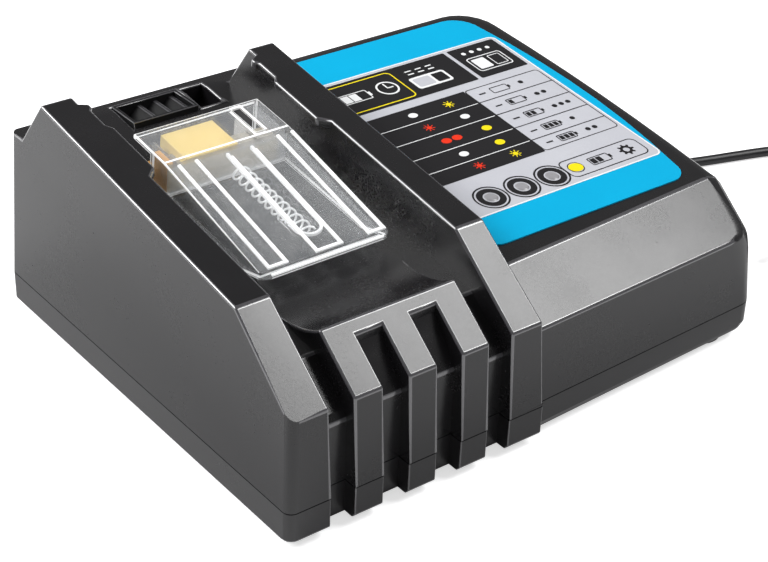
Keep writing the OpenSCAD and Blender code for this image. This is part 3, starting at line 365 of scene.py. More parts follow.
class Stock:
    """The finishes of the charger, by the real material that each one is."""

    # Spark-eroded mould: a fine leathery grain that breaks up the reflection of the lamp
    case_abs = Finish(
        "abs_satin_black", "#181719", "#121113", 0.26, 0.04, ior=1.54, size_mm=0.9, relief_mm=0.008
    )
    # The lower half comes out of another mould, a touch more matt
    base_abs = Finish(
        "abs_satin_black_base", "#1a191b", "#131214", 0.3, 0.04, ior=1.54, size_mm=0.9, relief_mm=0.008
    )
    # Where the mould's two faces meet, the rounded corner is glossier, and its lighter grey is a painted
    # highlight
    edge_abs_painted_highlight = Finish(
        "abs_edge_black_painted_highlight", "#4a494d", "#3c3b3e", 0.2, 0.03, ior=1.54, coat=0.8, specular=1.0,
        size_mm=0.9, relief_mm=0.004,
    )
    # Painted shade: the groove between the two halves is coloured near-black, as a thin dark line
    groove_abs_painted_shade = Finish("abs_parting_groove_painted_shade", "#0b0b0d", "#070708", 0.8, 0.04, specular=0.1, size_mm=0.5)
    # Painted shade: the grille's near-black colour keeps its flanks dark; its surface is spark-eroded
    vent_abs_painted_shade = Finish("abs_eroded_black_painted_shade", "#0d0d0f", "#09090a", 0.6, 0.05, specular=0.2)
    # Plain mouldings inside the case: dull and even, with no gloss to draw the eye
    dark_abs = Finish("abs_matt_black", "#1b1b1d", "#131315", 0.5, 0.06, size_mm=0.8, relief_mm=0.02)
    # Clear polycarbonate: a little milky from its mould, so it veils what lies under it
    clear_pc = Finish(
        "polycarbonate_clear", "#f4f6f8", "#c9cdd1", 0.12, 0.05, transmission=0.35, alpha=0.2,
        size_mm=3.5, relief_mm=0.006, drift_mm=7.0, **CLEAR_RESIN,
    )
    # The wall behind the spring is left unpolished, so it clouds what lies behind it; its faint glow is
    # painted light
    milky_pc_painted_glow = Finish(
        "polycarbonate_unpolished_painted_glow", "#eceeef", "#c4c7ca", 0.4, 0.06, transmission=0.2, alpha=0.5,
        glow=0.04, size_mm=1.2, drift_mm=5.0, **CLEAR_RESIN,
    )
    # Its cut and moulded edges are frosted; a glow of their own, painted light, shows them as white lines
    frosted_pc_painted_glow = Finish(
        "polycarbonate_frosted_edge_painted_glow", "#ffffff", "#f0f2f4", 0.3, 0.06, transmission=0.1, alpha=0.9,
        glow=0.3, size_mm=0.8, relief_mm=0.02, drift_mm=9.0, **CLEAR_RESIN,
    )
    # Film printed on its back: a smooth surface over a flat, even blue
    blue_film = Finish(
        "polyester_film_blue", "#00aad8", "#00a4d2", 0.5, 0.04, specular=0.12, size_mm=0.5, relief_mm=0.002
    )
    # Dark ground of the table and of the heading boxes, nearly as deep as the case
    ink_black = screen_ink("black", "#262527", "#1f1e20")
    # Pale cool ground of the printed field
    ink_grey = screen_ink("silver_grey", "#c3c4ca", "#b9bac1")
    # Thin lines and marks that stand out from the dark ground
    ink_white = screen_ink("white", "#eceded", "#e4e5e7")
    # Warm red of the state marks
    ink_red = screen_ink("red", "#e8391f", "#df341c")
    # Strong yellow of the state marks and of one heading frame
    ink_yellow = screen_ink("yellow", "#f2de1a", "#e9d216")
    # Diffusing lens: a soft grey window with a hint of depth
    lens = Finish(
        "polycarbonate_diffuser_grey", "#a8a7ab", "#98979b", 0.3, 0.04, transmission=0.15,
        size_mm=0.7, **CLEAR_RESIN,
    )
    # Glass-filled resin in signal yellow: a little mottled where the glass comes to the surface
    terminal_pbt = Finish(
        "pbt_terminal_yellow", "#ffe58a", "#fbd975", 0.42, 0.05, size_mm=0.8
    )
    # A darker amber copy of the same yellow resin: painted shade on the block's ear
    block_pbt_painted_shade = Finish(
        "pbt_terminal_yellow_painted_shade", "#f2b75a", "#e2a347", 0.45, 0.05, size_mm=0.8
    )
    # Pale, waxy grey on the walls that carry the contacts: a painted reflection of the milky cover over them
    holder_pa_painted_reflection = Finish("nylon_wall_painted_reflection", "#b9b4a8", "#a8a396", 0.5, 0.05, size_mm=0.9)
    # Bright drawn wire with fine lines along it; a glow of its own, painted light, keeps it white under the
    # cover
    spring_steel = Finish(
        "spring_steel_drawn", "#f0f1f2", "#d4d6d9", 0.42, 0.08, glow=0.55, size_mm=0.4, relief_mm=0.004,
        **DRAWN_METAL,
    )
    # Contact plating: a warm mirror that runs in fine lines along the blade
    nickel = Finish(
        "nickel_plate", "#d6d4ce", "#bdbab3", 0.2, 0.06, size_mm=0.5, relief_mm=0.003, **DRAWN_METAL
    )
    # Screw heads: a cool grey with a broken, cloudy shine
    zinc = Finish(
        "zinc_plated_steel", "#a9abae", "#8f9194", 0.34, 0.08, metallic=1.0, size_mm=0.5
    )
    # Blank plate: brushed lines that stretch its highlight sideways
    bare_plate = Finish(
        "aluminium_brushed_plate", "#c6c8ca", "#b4b6b9", 0.36, 0.06, size_mm=0.3, relief_mm=0.004,
        **DRAWN_METAL,
    )
    # Heat sink: upright lines from the die, and a softer shine than the plate's
    extruded = Finish(
        "aluminium_extruded", "#c0c2c4", "#a6a8ab", 0.4, 0.07, size_mm=0.4, relief_mm=0.008,
        turn=(0.0, 90.0, 0.0), **DRAWN_METAL,
    )
    # Feet and guard: dull, slightly grainy, darker than the case
    rubber = Finish("rubber_moulded_black", "#1c1c1d", "#121213", 0.72, 0.06, size_mm=0.5, relief_mm=0.03)
    # Flexible vinyl: a soft sheen along the lead and a faint drag line from its die
    vinyl = Finish(
        "pvc_flex_black", "#1d1d1f", "#141416", 0.42, 0.05, pattern=Pattern.DRAWN, size_mm=0.5,
        relief_mm=0.008,
    )
    # Webbing: a matt weave with a coarse, visible thread
    strap = Finish(
        "nylon_webbing_black", "#232325", "#151517", 0.8, 0.05, pattern=Pattern.WOVEN, size_mm=1.2,
        relief_mm=0.15,
    )
    # Circuit board: green lacquer over a faint grid of glass cloth
    board = Finish(
        "glass_laminate_green", "#1f6a42", "#14512f", 0.32, 0.06, coat=0.4, pattern=Pattern.LAMINATE,
        size_mm=3.0, relief_mm=0.03,
    )
    # Winding tape: overlapping yellow turns with a low edge at each
    tape = Finish(
        "polyester_tape_yellow", "#e2b53a", "#c99a26", 0.38, 0.06, pattern=Pattern.WOUND, size_mm=1.5,
        relief_mm=0.05,
    )
    # Enamelled wire: a warm metal in close, even ridges
    copper = Finish(
        "copper_wire_enamelled", "#c4693a", "#8f4220", 0.3, 0.08, metallic=1.0, pattern=Pattern.WOUND,
        size_mm=0.8, relief_mm=0.12,
    )
    # Capacitor sleeve: a smooth dark blue skin
    sleeve = Finish("pvc_sleeve_blue", "#27364f", "#1b273b", 0.34, relief_mm=0.006)
    # Fuse: a clear tube with a crisp reflection
    glass_tube = Finish(
        "soda_glass_tube", "#e4eaea", "#d2dada", 0.1, 0.04, ior=1.52, transmission=0.7, size_mm=2.0,
        relief_mm=0.004,
    )
    # Terminal housing: off-white and a little waxy
    nylon = Finish("nylon_natural", "#e4e3de", "#d6d5cf", 0.46, 0.05, size_mm=0.7)
    # Leads to the blades: a soft, slightly dusty red
    red_wire = Finish("silicone_wire_red", "#b02a22", "#962019", 0.5)


# ---- mesh helpers


def placed(name: str, data: Any) -> Piece:
    """Puts a new object of a mesh, lamp or camera into the scene."""
    thing = bpy.data.objects.new(name, data)
    bpy.context.scene.collection.objects.link(thing)
    return thing


def finished(name: str, shape: Shape, *finishes: Finish) -> Mesh:
    """Turns a shape into a mesh with its finishes, and frees the shape."""
    mesh = bpy.data.meshes.new(name)
    shape.to_mesh(mesh)
    shape.free()
    for finish in finishes:
        mesh.materials.append(finish.material())
    return mesh


def skin(shape: Shape, rings: Sequence[Sequence[Point]]) -> None:
    """Closes a solid over rings of as many points, one after the other.

    Args:
        shape: The mesh that takes it.
        rings: Points of each ring, in metres.
    """
    made = [[shape.verts.new(point) for point in ring] for ring in rings]
    count = len(made[0])
    for a, b in zip(made, made[1:]):
        for k in range(count):
            n = (k + 1) % count
            shape.faces.new([a[k], b[k], b[n], a[n]])
    shape.faces.new(made[0])
    shape.faces.new(list(reversed(made[-1])))


def new_piece(name: str, mesh: Mesh, body: str) -> Piece:
    """Makes an object of a finished mesh and lets it ride on a body.

    Args:
        name: Name of the piece.
        mesh: Its mesh, in the row frame.
        body: The CAD body that it moves with.

    Returns:
        The new object.
    """
    piece = placed(name, mesh)
    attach(piece, body)
    LOG.info("%s: %d faces, rides on %s", name, len(mesh.polygons), body)
    return piece


def dress(finish: Finish, *nodes: str) -> None:
    """Gives CAD nodes a finish, each on its own material slots."""
    for node in nodes:
        piece = frame["nodes"][node]
        if not piece.material_slots:
            piece.data.materials.append(None)
        for place in piece.material_slots:
            place.material = finish.material()
        LOG.info("%s: dressed as %s", node, finish.name)


def eased_copy(
    node: str,
    name: str,
    width_mm: float,
    finish: Finish,
    segments: int = 3,
    keep: Keep | None = None,
    edge: Finish | None = None,
) -> Piece:
    """Copies a CAD node, merges its faces and rounds its edges as the mould does.

    Args:
        node: The CAD node, which the copy then stands for.
        name: Name of the new piece.
        width_mm: Width of the rounded edges.
        finish: The finish of the whole piece.
        segments: Faces across each rounded edge.
        keep: Says which edges are rounded, from their two ends in the case frame.
        edge: The finish of the rounded edges, where it differs.

    Returns:
        The new object.
    """
    source = frame["nodes"][node]
    mesh = source.data.copy()
    mesh.name = name
    shape = bmesh.new()
    shape.from_mesh(mesh)
    bmesh.ops.remove_doubles(shape, verts=shape.verts, dist=2e-6)
    bmesh.ops.dissolve_degenerate(shape, edges=shape.edges, dist=1e-6)
    bmesh.ops.dissolve_limit(
        shape, angle_limit=math.radians(FLAT_DEG), verts=shape.verts, edges=shape.edges,
        use_dissolve_boundaries=False,
    )
    for face in shape.faces:
        face.material_index = 0
    crease(shape, ease_edges(shape, width_mm, segments, keep, 1 if edge else 0))
    mesh.materials.clear()
    mesh.materials.append(finish.material())
    if edge:
        mesh.materials.append(edge.material())
    shape.to_mesh(mesh)
    shape.free()
    piece = new_piece(name, flat_faced(mesh), source["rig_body"])
    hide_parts(node)
    return piece


def ease_edges(
    shape: Shape,
    width_mm: float,
    segments: int,
    keep: Keep | None,
    material: int,
) -> set[Face]:
    """Rounds the sharp outer edges of a mesh, as far as they are long enough to take it.

    Args:
        shape: The mesh, in metres.
        width_mm: Width of the rounded edges.
        segments: Faces across each rounded edge.
        keep: Says which edges are rounded, from their two ends in the case frame.
        material: Number of the material that the rounded edges take.

    Returns:
        The faces of the rounded edges.
    """
    chosen = []
    for edge in shape.edges:
        if not edge.is_convex or edge.calc_face_angle(0.0) < math.radians(ROUND_DEG):
            continue
        if edge.calc_length() < width_mm * MM * LEAST_LENGTH:
            continue
        ends = [v.co / MM + Vector((CASE.half_width, CASE.half_depth, -CASE.foot)) for v in edge.verts]
        if keep is None or keep(ends[0], ends[1]):
            chosen.append(edge)
    if not chosen:
        return set()
    made = bmesh.ops.bevel(
        shape, geom=chosen, offset=width_mm * MM, offset_type="OFFSET", segments=segments, profile=0.5,
        affect="EDGES", clamp_overlap=False,
    )
    rounded = set(made["faces"])
    for face in rounded:
        face.material_index = material
    return rounded


def crease(shape: Shape, rounded: set[Face]) -> None:
    """Shades a mesh smooth across its rounded edges and sharp across all other ones.

    Args:
        shape: The mesh.
        rounded: The faces of its rounded edges.
    """
    for face in shape.faces:
        face.smooth = True
    for edge in shape.edges:
        limit = ROUNDED_FOLD_DEG if rounded.intersection(edge.link_faces) else FOLD_DEG
        edge.smooth = edge.calc_face_angle(math.pi) < math.radians(limit)


def smooth(mesh: Mesh, degrees: float = 34.0) -> None:
    """Shades a mesh smooth, with its sharp edges kept."""
    mesh.shade_smooth()
    mesh.set_sharp_from_angle(angle=math.radians(degrees))


def settled(holder: Piece) -> Mesh:
    """Gives what an object's modifiers make of it as a plain mesh, and removes the object.

    Args:
        holder: The object, with its modifiers.

    Returns:
        The finished mesh.
    """
    bpy.context.scene.collection.objects.link(holder)
    holder.update_tag()
    bpy.context.view_layer.update()
    evaluated = holder.evaluated_get(bpy.context.evaluated_depsgraph_get())
    mesh = bpy.data.meshes.new_from_object(evaluated)
    holder.modifiers.clear()
    bpy.data.objects.remove(holder)
    return mesh


def flat_faced(mesh: Mesh) -> Mesh:
    """Keeps large faces flat in the light, so that only rounded edges turn it."""
    holder = bpy.data.objects.new(mesh.name, mesh)
    weighing = holder.modifiers.new("face_weights", "WEIGHTED_NORMAL")
    weighing.keep_sharp = True
    weighing.weight = 100
    return settled(holder)


def grown(name: str, tree: Tree, inputs: dict[str, Any]) -> Mesh:
    """Runs a Geometry Nodes tree and gives its result as a plain mesh.

    Args:
        name: Name of the mesh.
        tree: The tree, whose named inputs are its sizes.
        inputs: Values of those inputs.

    Returns:
        The finished mesh.
    """
    holder = bpy.data.objects.new(name + "_holder", bpy.data.meshes.new(name + "_holder"))
    modifier = holder.modifiers.new(name, "NODES")
    modifier.node_group = tree
    for item in tree.interface.items_tree:
        if item.item_type == "SOCKET" and item.in_out == "INPUT" and item.name in inputs:
            modifier[item.identifier] = inputs[item.name]
    mesh = settled(holder)
    mesh.name = name
    return mesh


SOCKET_KINDS: dict[type, str] = {
    int: "NodeSocketInt", float: "NodeSocketFloat", tuple: "NodeSocketVector",
}


def new_tree(name: str, inputs: dict[str, Any]) -> tuple[Tree, dict[str, Any]]:
    """Starts a Geometry Nodes tree with named inputs.

    Args:
        name: Name of the tree.
        inputs: Default value of each input, by name; its type settles the socket's kind.

    Returns:
        The tree, and its input sockets by name.
    """
    tree = bpy.data.node_groups.new(name, "GeometryNodeTree")
    for label, value in inputs.items():
        socket = tree.interface.new_socket(label, in_out="INPUT", socket_type=SOCKET_KINDS[type(value)])
        socket.default_value = value
    tree.interface.new_socket("Mesh", in_out="OUTPUT", socket_type="NodeSocketGeometry")
    entry = tree.nodes.new("NodeGroupInput")
    return tree, {label: entry.outputs[label] for label in inputs}


def end_tree(tree: Tree, geometry: Socket, finish: Finish) -> None:
    """Ends a tree with Realize Instances and Set Material."""
    real = out(tree, "GeometryNodeRealizeInstances", links={0: geometry})
    painted = out(
        tree, "GeometryNodeSetMaterial", values={"Material": finish.material()}, links={"Geometry": real}
    )
    add_node(tree, "NodeGroupOutput", links={0: painted})


def swept(tree: Tree, path: Socket, sides: int, radius: Socket) -> Socket:
    """Gives a closed round tube along a path, inside a tree."""
    profile = out(
        tree, "GeometryNodeCurvePrimitiveCircle", values={"Resolution": sides}, links={"Radius": radius}
    )
    return out(
        tree, "GeometryNodeCurveToMesh", values={"Fill Caps": True},
        links={"Curve": path, "Profile Curve": profile},
    )


# ---- the two case halves


@dataclass
class CaseShell:
    """Upper and lower case, with the small radii that a mould leaves on their edges.

    Attributes:
        edge_mm: Radius of an outer edge.
        seam_mm: Radius along the parting line.
        seam_z: Height of the parting line.
        groove_mm: How far the painted shade of the groove reaches to either side.
        bay_end: Where the bay's right-hand wall ends.
        rim_z: Below the first height, and below the second inside the rim, no edge is rounded.
        rim_room: Left, right, front and back end of the room inside the rim.
        bay_room: The same for the room under the bay, with how far it stays below the floor.
        label_room: The same for the room under the label.
        ribs_room: Left, right and back end and lowest height of the ribs at the front.
        front_label: Depth, height and slope of the case's top in front of the label.
        base_edges: The lower case is rounded above this height, and in front of this depth.
    """

    edge_mm: float = 0.75
    seam_mm: float = 0.35
    seam_z: float = 11.4
    groove_mm: float = 0.33
    bay_end: float = 93.5
    rim_z: Flat = (11.0, 11.6)
    rim_room: tuple[float, ...] = (2.6, 190.0, 2.6, 158.0)
    bay_room: tuple[float, ...] = (2.0, 93.5, 8.0, 158.0, 3.6)
    label_room: tuple[float, ...] = (93.5, 189.0, 8.5, 157.0, 2.2)
    ribs_room: tuple[float, ...] = (14.0, 80.0, 21.5, 28.0)
    front_label: Point = (4.0, 36.9, 0.66)
    base_edges: Flat = (10.5, 8.0)

    def outside(self, a: Vector, b: Vector) -> bool:
        """Says whether an edge of the upper case is on its outside, where it can be seen."""
        return self._is_outside(a) and self._is_outside(b)

    def _is_outside(self, p: Vector) -> bool:
        """Says whether a point of the upper case, in the case frame, is on its outside."""
        if p.z < self.rim_z[0] or (p.z < self.rim_z[1] and self._within(p, self.rim_room)):
            return False
        room = self.bay_room if p.x < self.bay_end else self.label_room
        if not self._within(p, room):
            return True
        if p.x < self.bay_end:
            rise = max(0.0, p.y - CASE.floor_y) * math.tan(math.radians(CASE.floor_tilt))
            return p.z >= CASE.floor_z + rise - room[4] or self.front(p)
        return p.z >= self.label_height(p.y) - room[4]

    def _of_base(self, a: Vector, b: Vector) -> bool:
        """Says whether an edge of the lower case is at its rim or its front."""
        low, back = self.base_edges
        return min(a.z, b.z) > low or max(a.y, b.y) < back

    @staticmethod
    def _within(p: Vector, room: Sequence[float]) -> bool:
        """Says whether a point lies inside a room's left, right, front and back end."""
        return room[0] < p.x < room[1] and room[2] < p.y < room[3]

    def front(self, p: Vector) -> bool:
        """Says whether a point is among the ribs and hollows at the front of the bay."""
        left, right, back, low = self.ribs_room
        return p.y < back and left < p.x < right and p.z > low

    def label_height(self, y: float) -> float:
        """Gives the height of the case's top on the control side at a depth y."""
        if y > CASE.label_y:
            return CASE.label_z + (y - CASE.label_y) * math.tan(math.radians(CASE.label_tilt))
        start, height, slope = self.front_label
        return height + max(0.0, y - start) * slope

    def build(self) -> None:
        """Makes both halves and dresses what is screwed or stuck to them."""
        # The rounded edges of both halves take the lighter edge finish, a painted highlight
        top = eased_copy(
            "upper_case", "case_top", self.edge_mm, Stock.case_abs, keep=self.outside,
            edge=Stock.edge_abs_painted_highlight,
        )
        base = eased_copy(
            "lower_case", "case_base", self.seam_mm, Stock.base_abs,
            keep=self._of_base, edge=Stock.edge_abs_painted_highlight,
        )
        # Rounded edges at the parting line take the near-black finish, painted shade in the groove between
        # the halves
        seam = CASE.point(0.0, 0.0, self.seam_z).z
        for half in (top, base):
            half.data.materials.append(Stock.groove_abs_painted_shade.material())
            for face in half.data.polygons:
                if face.material_index == 1 and abs(face.center.z - seam) < self.groove_mm * MM:
                    face.material_index = 2
        dress(Stock.rubber, "rubber_feet")
        dress(Stock.zinc, "case_screws", "board_screws", "clamp_screws")
        dress(Stock.bare_plate, "rating_plate")


# ---- clear cover, block and spring


@dataclass
class TerminalBay:
    """Clear cover, terminal block, blades and return spring.

    Attributes:
        edge_mm: Radius of the cover's edges.
        wedge_s: Where its slope ends, along the bay floor.
        wall_s: Front and back limit of its inner wall, along the bay floor.
        wall_area: Least area of a face of that wall, in square metres.
        lean: A face is upright, or faces front, if its normal leans less than this the other way.
        tongue_x: Left and right side of the block's tongue.
        ear_x: Where the block's left-hand ear ends.
        spring_x: Axis of the spring, from the left face.
        spring_h: Axis of the spring above the bay floor.
        spring_s: Front and back end of the spring, along the bay floor.
        spring_radius: Mean radius of a curl.
        wire: Diameter of the wire.
        curls: Number of curls.
        keep: Length left at the end of the cover's travel, as a share of the whole; not used.
        channel_half: Half the width of the channel over the spring.
        channel_s: Where its straight sides run, along the bay floor.
        channel_wall: Thickness of its wall.
        channel_drop: How far its top and its bottom lie below the cover's underside.
        underside: Start, height, rise and run of the underside of the cover's slope.
        topside: The same for its top.
        rib_clear: How far above the slope an edge counts as a rib's.
        spring_gap: Room left at each end of the spring.
        block_edge: Radius of the block's edges.
        crease_highlight_x: Left and right end of a thin glowing strip, a painted highlight, along the line
            between the cover's slope and its flat part.
        crease_highlight_profile: Section of that strip, as places along and above the bay floor.
        lip_highlight_x: Left and right end of the same kind of painted highlight strip along the cover's
            front lip.
        lip_highlight_profile: Section of that strip.
    """

    edge_mm: float = 0.5
    wedge_s: float = 61.0
    wall_s: Flat = (59.0, 62.0)
    wall_area: float = 2e-4
    lean: float = 0.5
    tongue_x: Flat = (33.3, 52.5)
    ear_x: float = 29.0
    spring_x: float = 50.4
    spring_h: float = 3.4
    spring_s: Flat = (20.2, 60.1)
    spring_radius: float = 2.65
    wire: float = 0.7
    curls: int = 11
    keep: float = 0.4486
    channel_half: float = 4.9
    channel_s: Flat = (22.4, 59.4)
    channel_wall: float = 0.9
    channel_drop: Flat = (0.05, 1.1)
    underside: tuple[float, ...] = (10.5, 5.4, 6.2, 51.0)
    topside: tuple[float, ...] = (6.5, 6.4, 6.6, 55.0)
    rib_clear: float = 0.15
    spring_gap: float = 0.1
    block_edge: float = 0.35
    crease_highlight_x: Flat = (25.0, 69.8)
    crease_highlight_profile: tuple[Flat, ...] = ((61.2, 12.9), (61.9, 12.9), (61.9, 13.04), (61.2, 13.04))
    lip_highlight_x: Flat = (27.3, 67.5)
    lip_highlight_profile: tuple[Flat, ...] = ((6.46, 5.9), (7.1, 5.9), (7.1, 6.52), (6.46, 6.44))

    def _spring_mesh(self) -> Mesh:
        """Winds the spring with Geometry Nodes, along Z from the origin, in metres."""
        sizes = {
            "Curls": float(self.curls), "Radius": self.spring_radius * MM,
            "Length": (self.spring_s[1] - self.spring_s[0] - self.wire - 2 * self.spring_gap) * MM,
            "Wire radius": self.wire / 2 * MM,
        }
        tree, size = new_tree("spring_winding", sizes)
        spiral = out(
            tree, "GeometryNodeCurveSpiral", values={"Resolution": 24, "Reverse": False},
            links={"Rotations": size["Curls"], "Start Radius": size["Radius"], "End Radius": size["Radius"],
                   "Height": size["Length"]},
        )
        end_tree(tree, swept(tree, spiral, 10, size["Wire radius"]), Stock.spring_steel)
        return grown("return_spring", tree, sizes)

    def _under_cover(self, s: float) -> float:
        """Gives the height of the sloping part's underside above the bay floor."""
        start, height, rise, run = self.underside
        return height + (s - start) * rise / run

    def _over_cover(self, s: float) -> float:
        """Gives the height of the sloping part's top above the bay floor."""
        start, height, rise, run = self.topside
        return height + (s - start) * rise / run

    def _channel_mesh(self) -> Mesh:
        """Makes the U-shaped wall that guides the spring under the cover, and thin strips that paint
        highlights along the cover's crease and front lip, all in the frosted finish with its painted glow.
        """
        shape = bmesh.new()
        s0, s1 = self.channel_s
        high, low = self.channel_drop
        turns = [math.radians(180 + 15 * k) for k in range(13)]
        path = [(-1.0, 0.0, s1)] + [(math.cos(a), math.sin(a), s0) for a in turns] + [(1.0, 0.0, s1)]
        outer, inner = self.channel_half, self.channel_half - self.channel_wall
        section = ((outer, high), (inner, high), (inner, low), (outer, low))
        skin(shape, [
            [CASE.on_floor(self.spring_x + r * c, s + r * d, self._under_cover(s + r * d) - drop)
             for r, drop in section]
            for c, d, s in path
        ])
        # Two thin glowing strips along the cover's crease and front lip: painted highlights
        for ends, profile in ((self.crease_highlight_x, self.crease_highlight_profile), (self.lip_highlight_x, self.lip_highlight_profile)):
            skin(shape, [[CASE.on_floor(x, s, h) for s, h in profile] for x in ends])
        bmesh.ops.recalc_face_normals(shape, faces=shape.faces)
        mesh = finished("spring_channel", shape, Stock.frosted_pc_painted_glow)
        smooth(mesh)
        return mesh

    def _off_ribs(self, a: Vector, b: Vector) -> bool:
        """Says whether an edge, given by its ends in the case frame, lies below the cover's ribs."""
        places = [CASE.floor_place(CASE.point(*end)) for end in (a, b)]
        return all(s > self.wedge_s or h < self._over_cover(s) + self.rib_clear for s, h in places)

    def build(self) -> None:
        """Makes the cover, the block and the spring, and dresses the blades."""
        # The cover's rounded edges take the frosted finish, whose glow is painted light
        cover = eased_copy(
            "terminal_cover", "clear_cover", self.edge_mm, Stock.clear_pc,
            keep=self._off_ribs, edge=Stock.frosted_pc_painted_glow,
        )
        # The ribs' faces take the same glowing frosted finish, a painted highlight; the inner wall's front
        # faces take the milky finish with its faint painted glow
        cover.data.materials.append(Stock.milky_pc_painted_glow.material())
        front, back = self.wall_s
        for face in cover.data.polygons:
            s, h = CASE.floor_place(face.center)
            if s < self.wedge_s and h > self._over_cover(s) + self.rib_clear:
                face.material_index = 1
            elif s > front and face.area > self.wall_area and abs(face.normal.z) < self.lean:
                face.material_index = 2 if abs(face.normal.x) < self.lean and s < back else 0
        new_piece("spring_channel", self._channel_mesh(), "cover")
        # The pale finish of the block's walls is a painted reflection of the milky cover over them
        block = eased_copy(
            "terminal_block", "contact_block", self.block_edge, Stock.holder_pa_painted_reflection
        )
        for finish in (Stock.terminal_pbt, Stock.block_pbt_painted_shade):
            block.data.materials.append(finish.material())
        # The ear left of the tongue takes the amber copy of the yellow resin, painted shade
        for face in block.data.polygons:
            x = face.center.x / MM + CASE.half_width
            if self.tongue_x[0] < x < self.tongue_x[1]:
                face.material_index = 1
            elif x < self.ear_x:
                face.material_index = 2
        dress(Stock.nickel, "power_blades")
        first = self.spring_s[0] + self.wire / 2 + self.spring_gap
        start = CASE.on_floor(self.spring_x, first, self.spring_h)
        along = (CASE.on_floor(0.0, 10.0, 0.0) - CASE.on_floor(0.0, 0.0, 0.0)).normalized()
        mesh = self._spring_mesh()
        turn = Vector((0, 0, 1)).rotation_difference(along).to_matrix().to_4x4()
        mesh.transform(Matrix.Translation(start) @ turn)
        smooth(mesh, 60.0)
        spring = new_piece("return_spring", mesh, "case")
        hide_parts("cover_spring")
        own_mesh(spring)


# ---- label


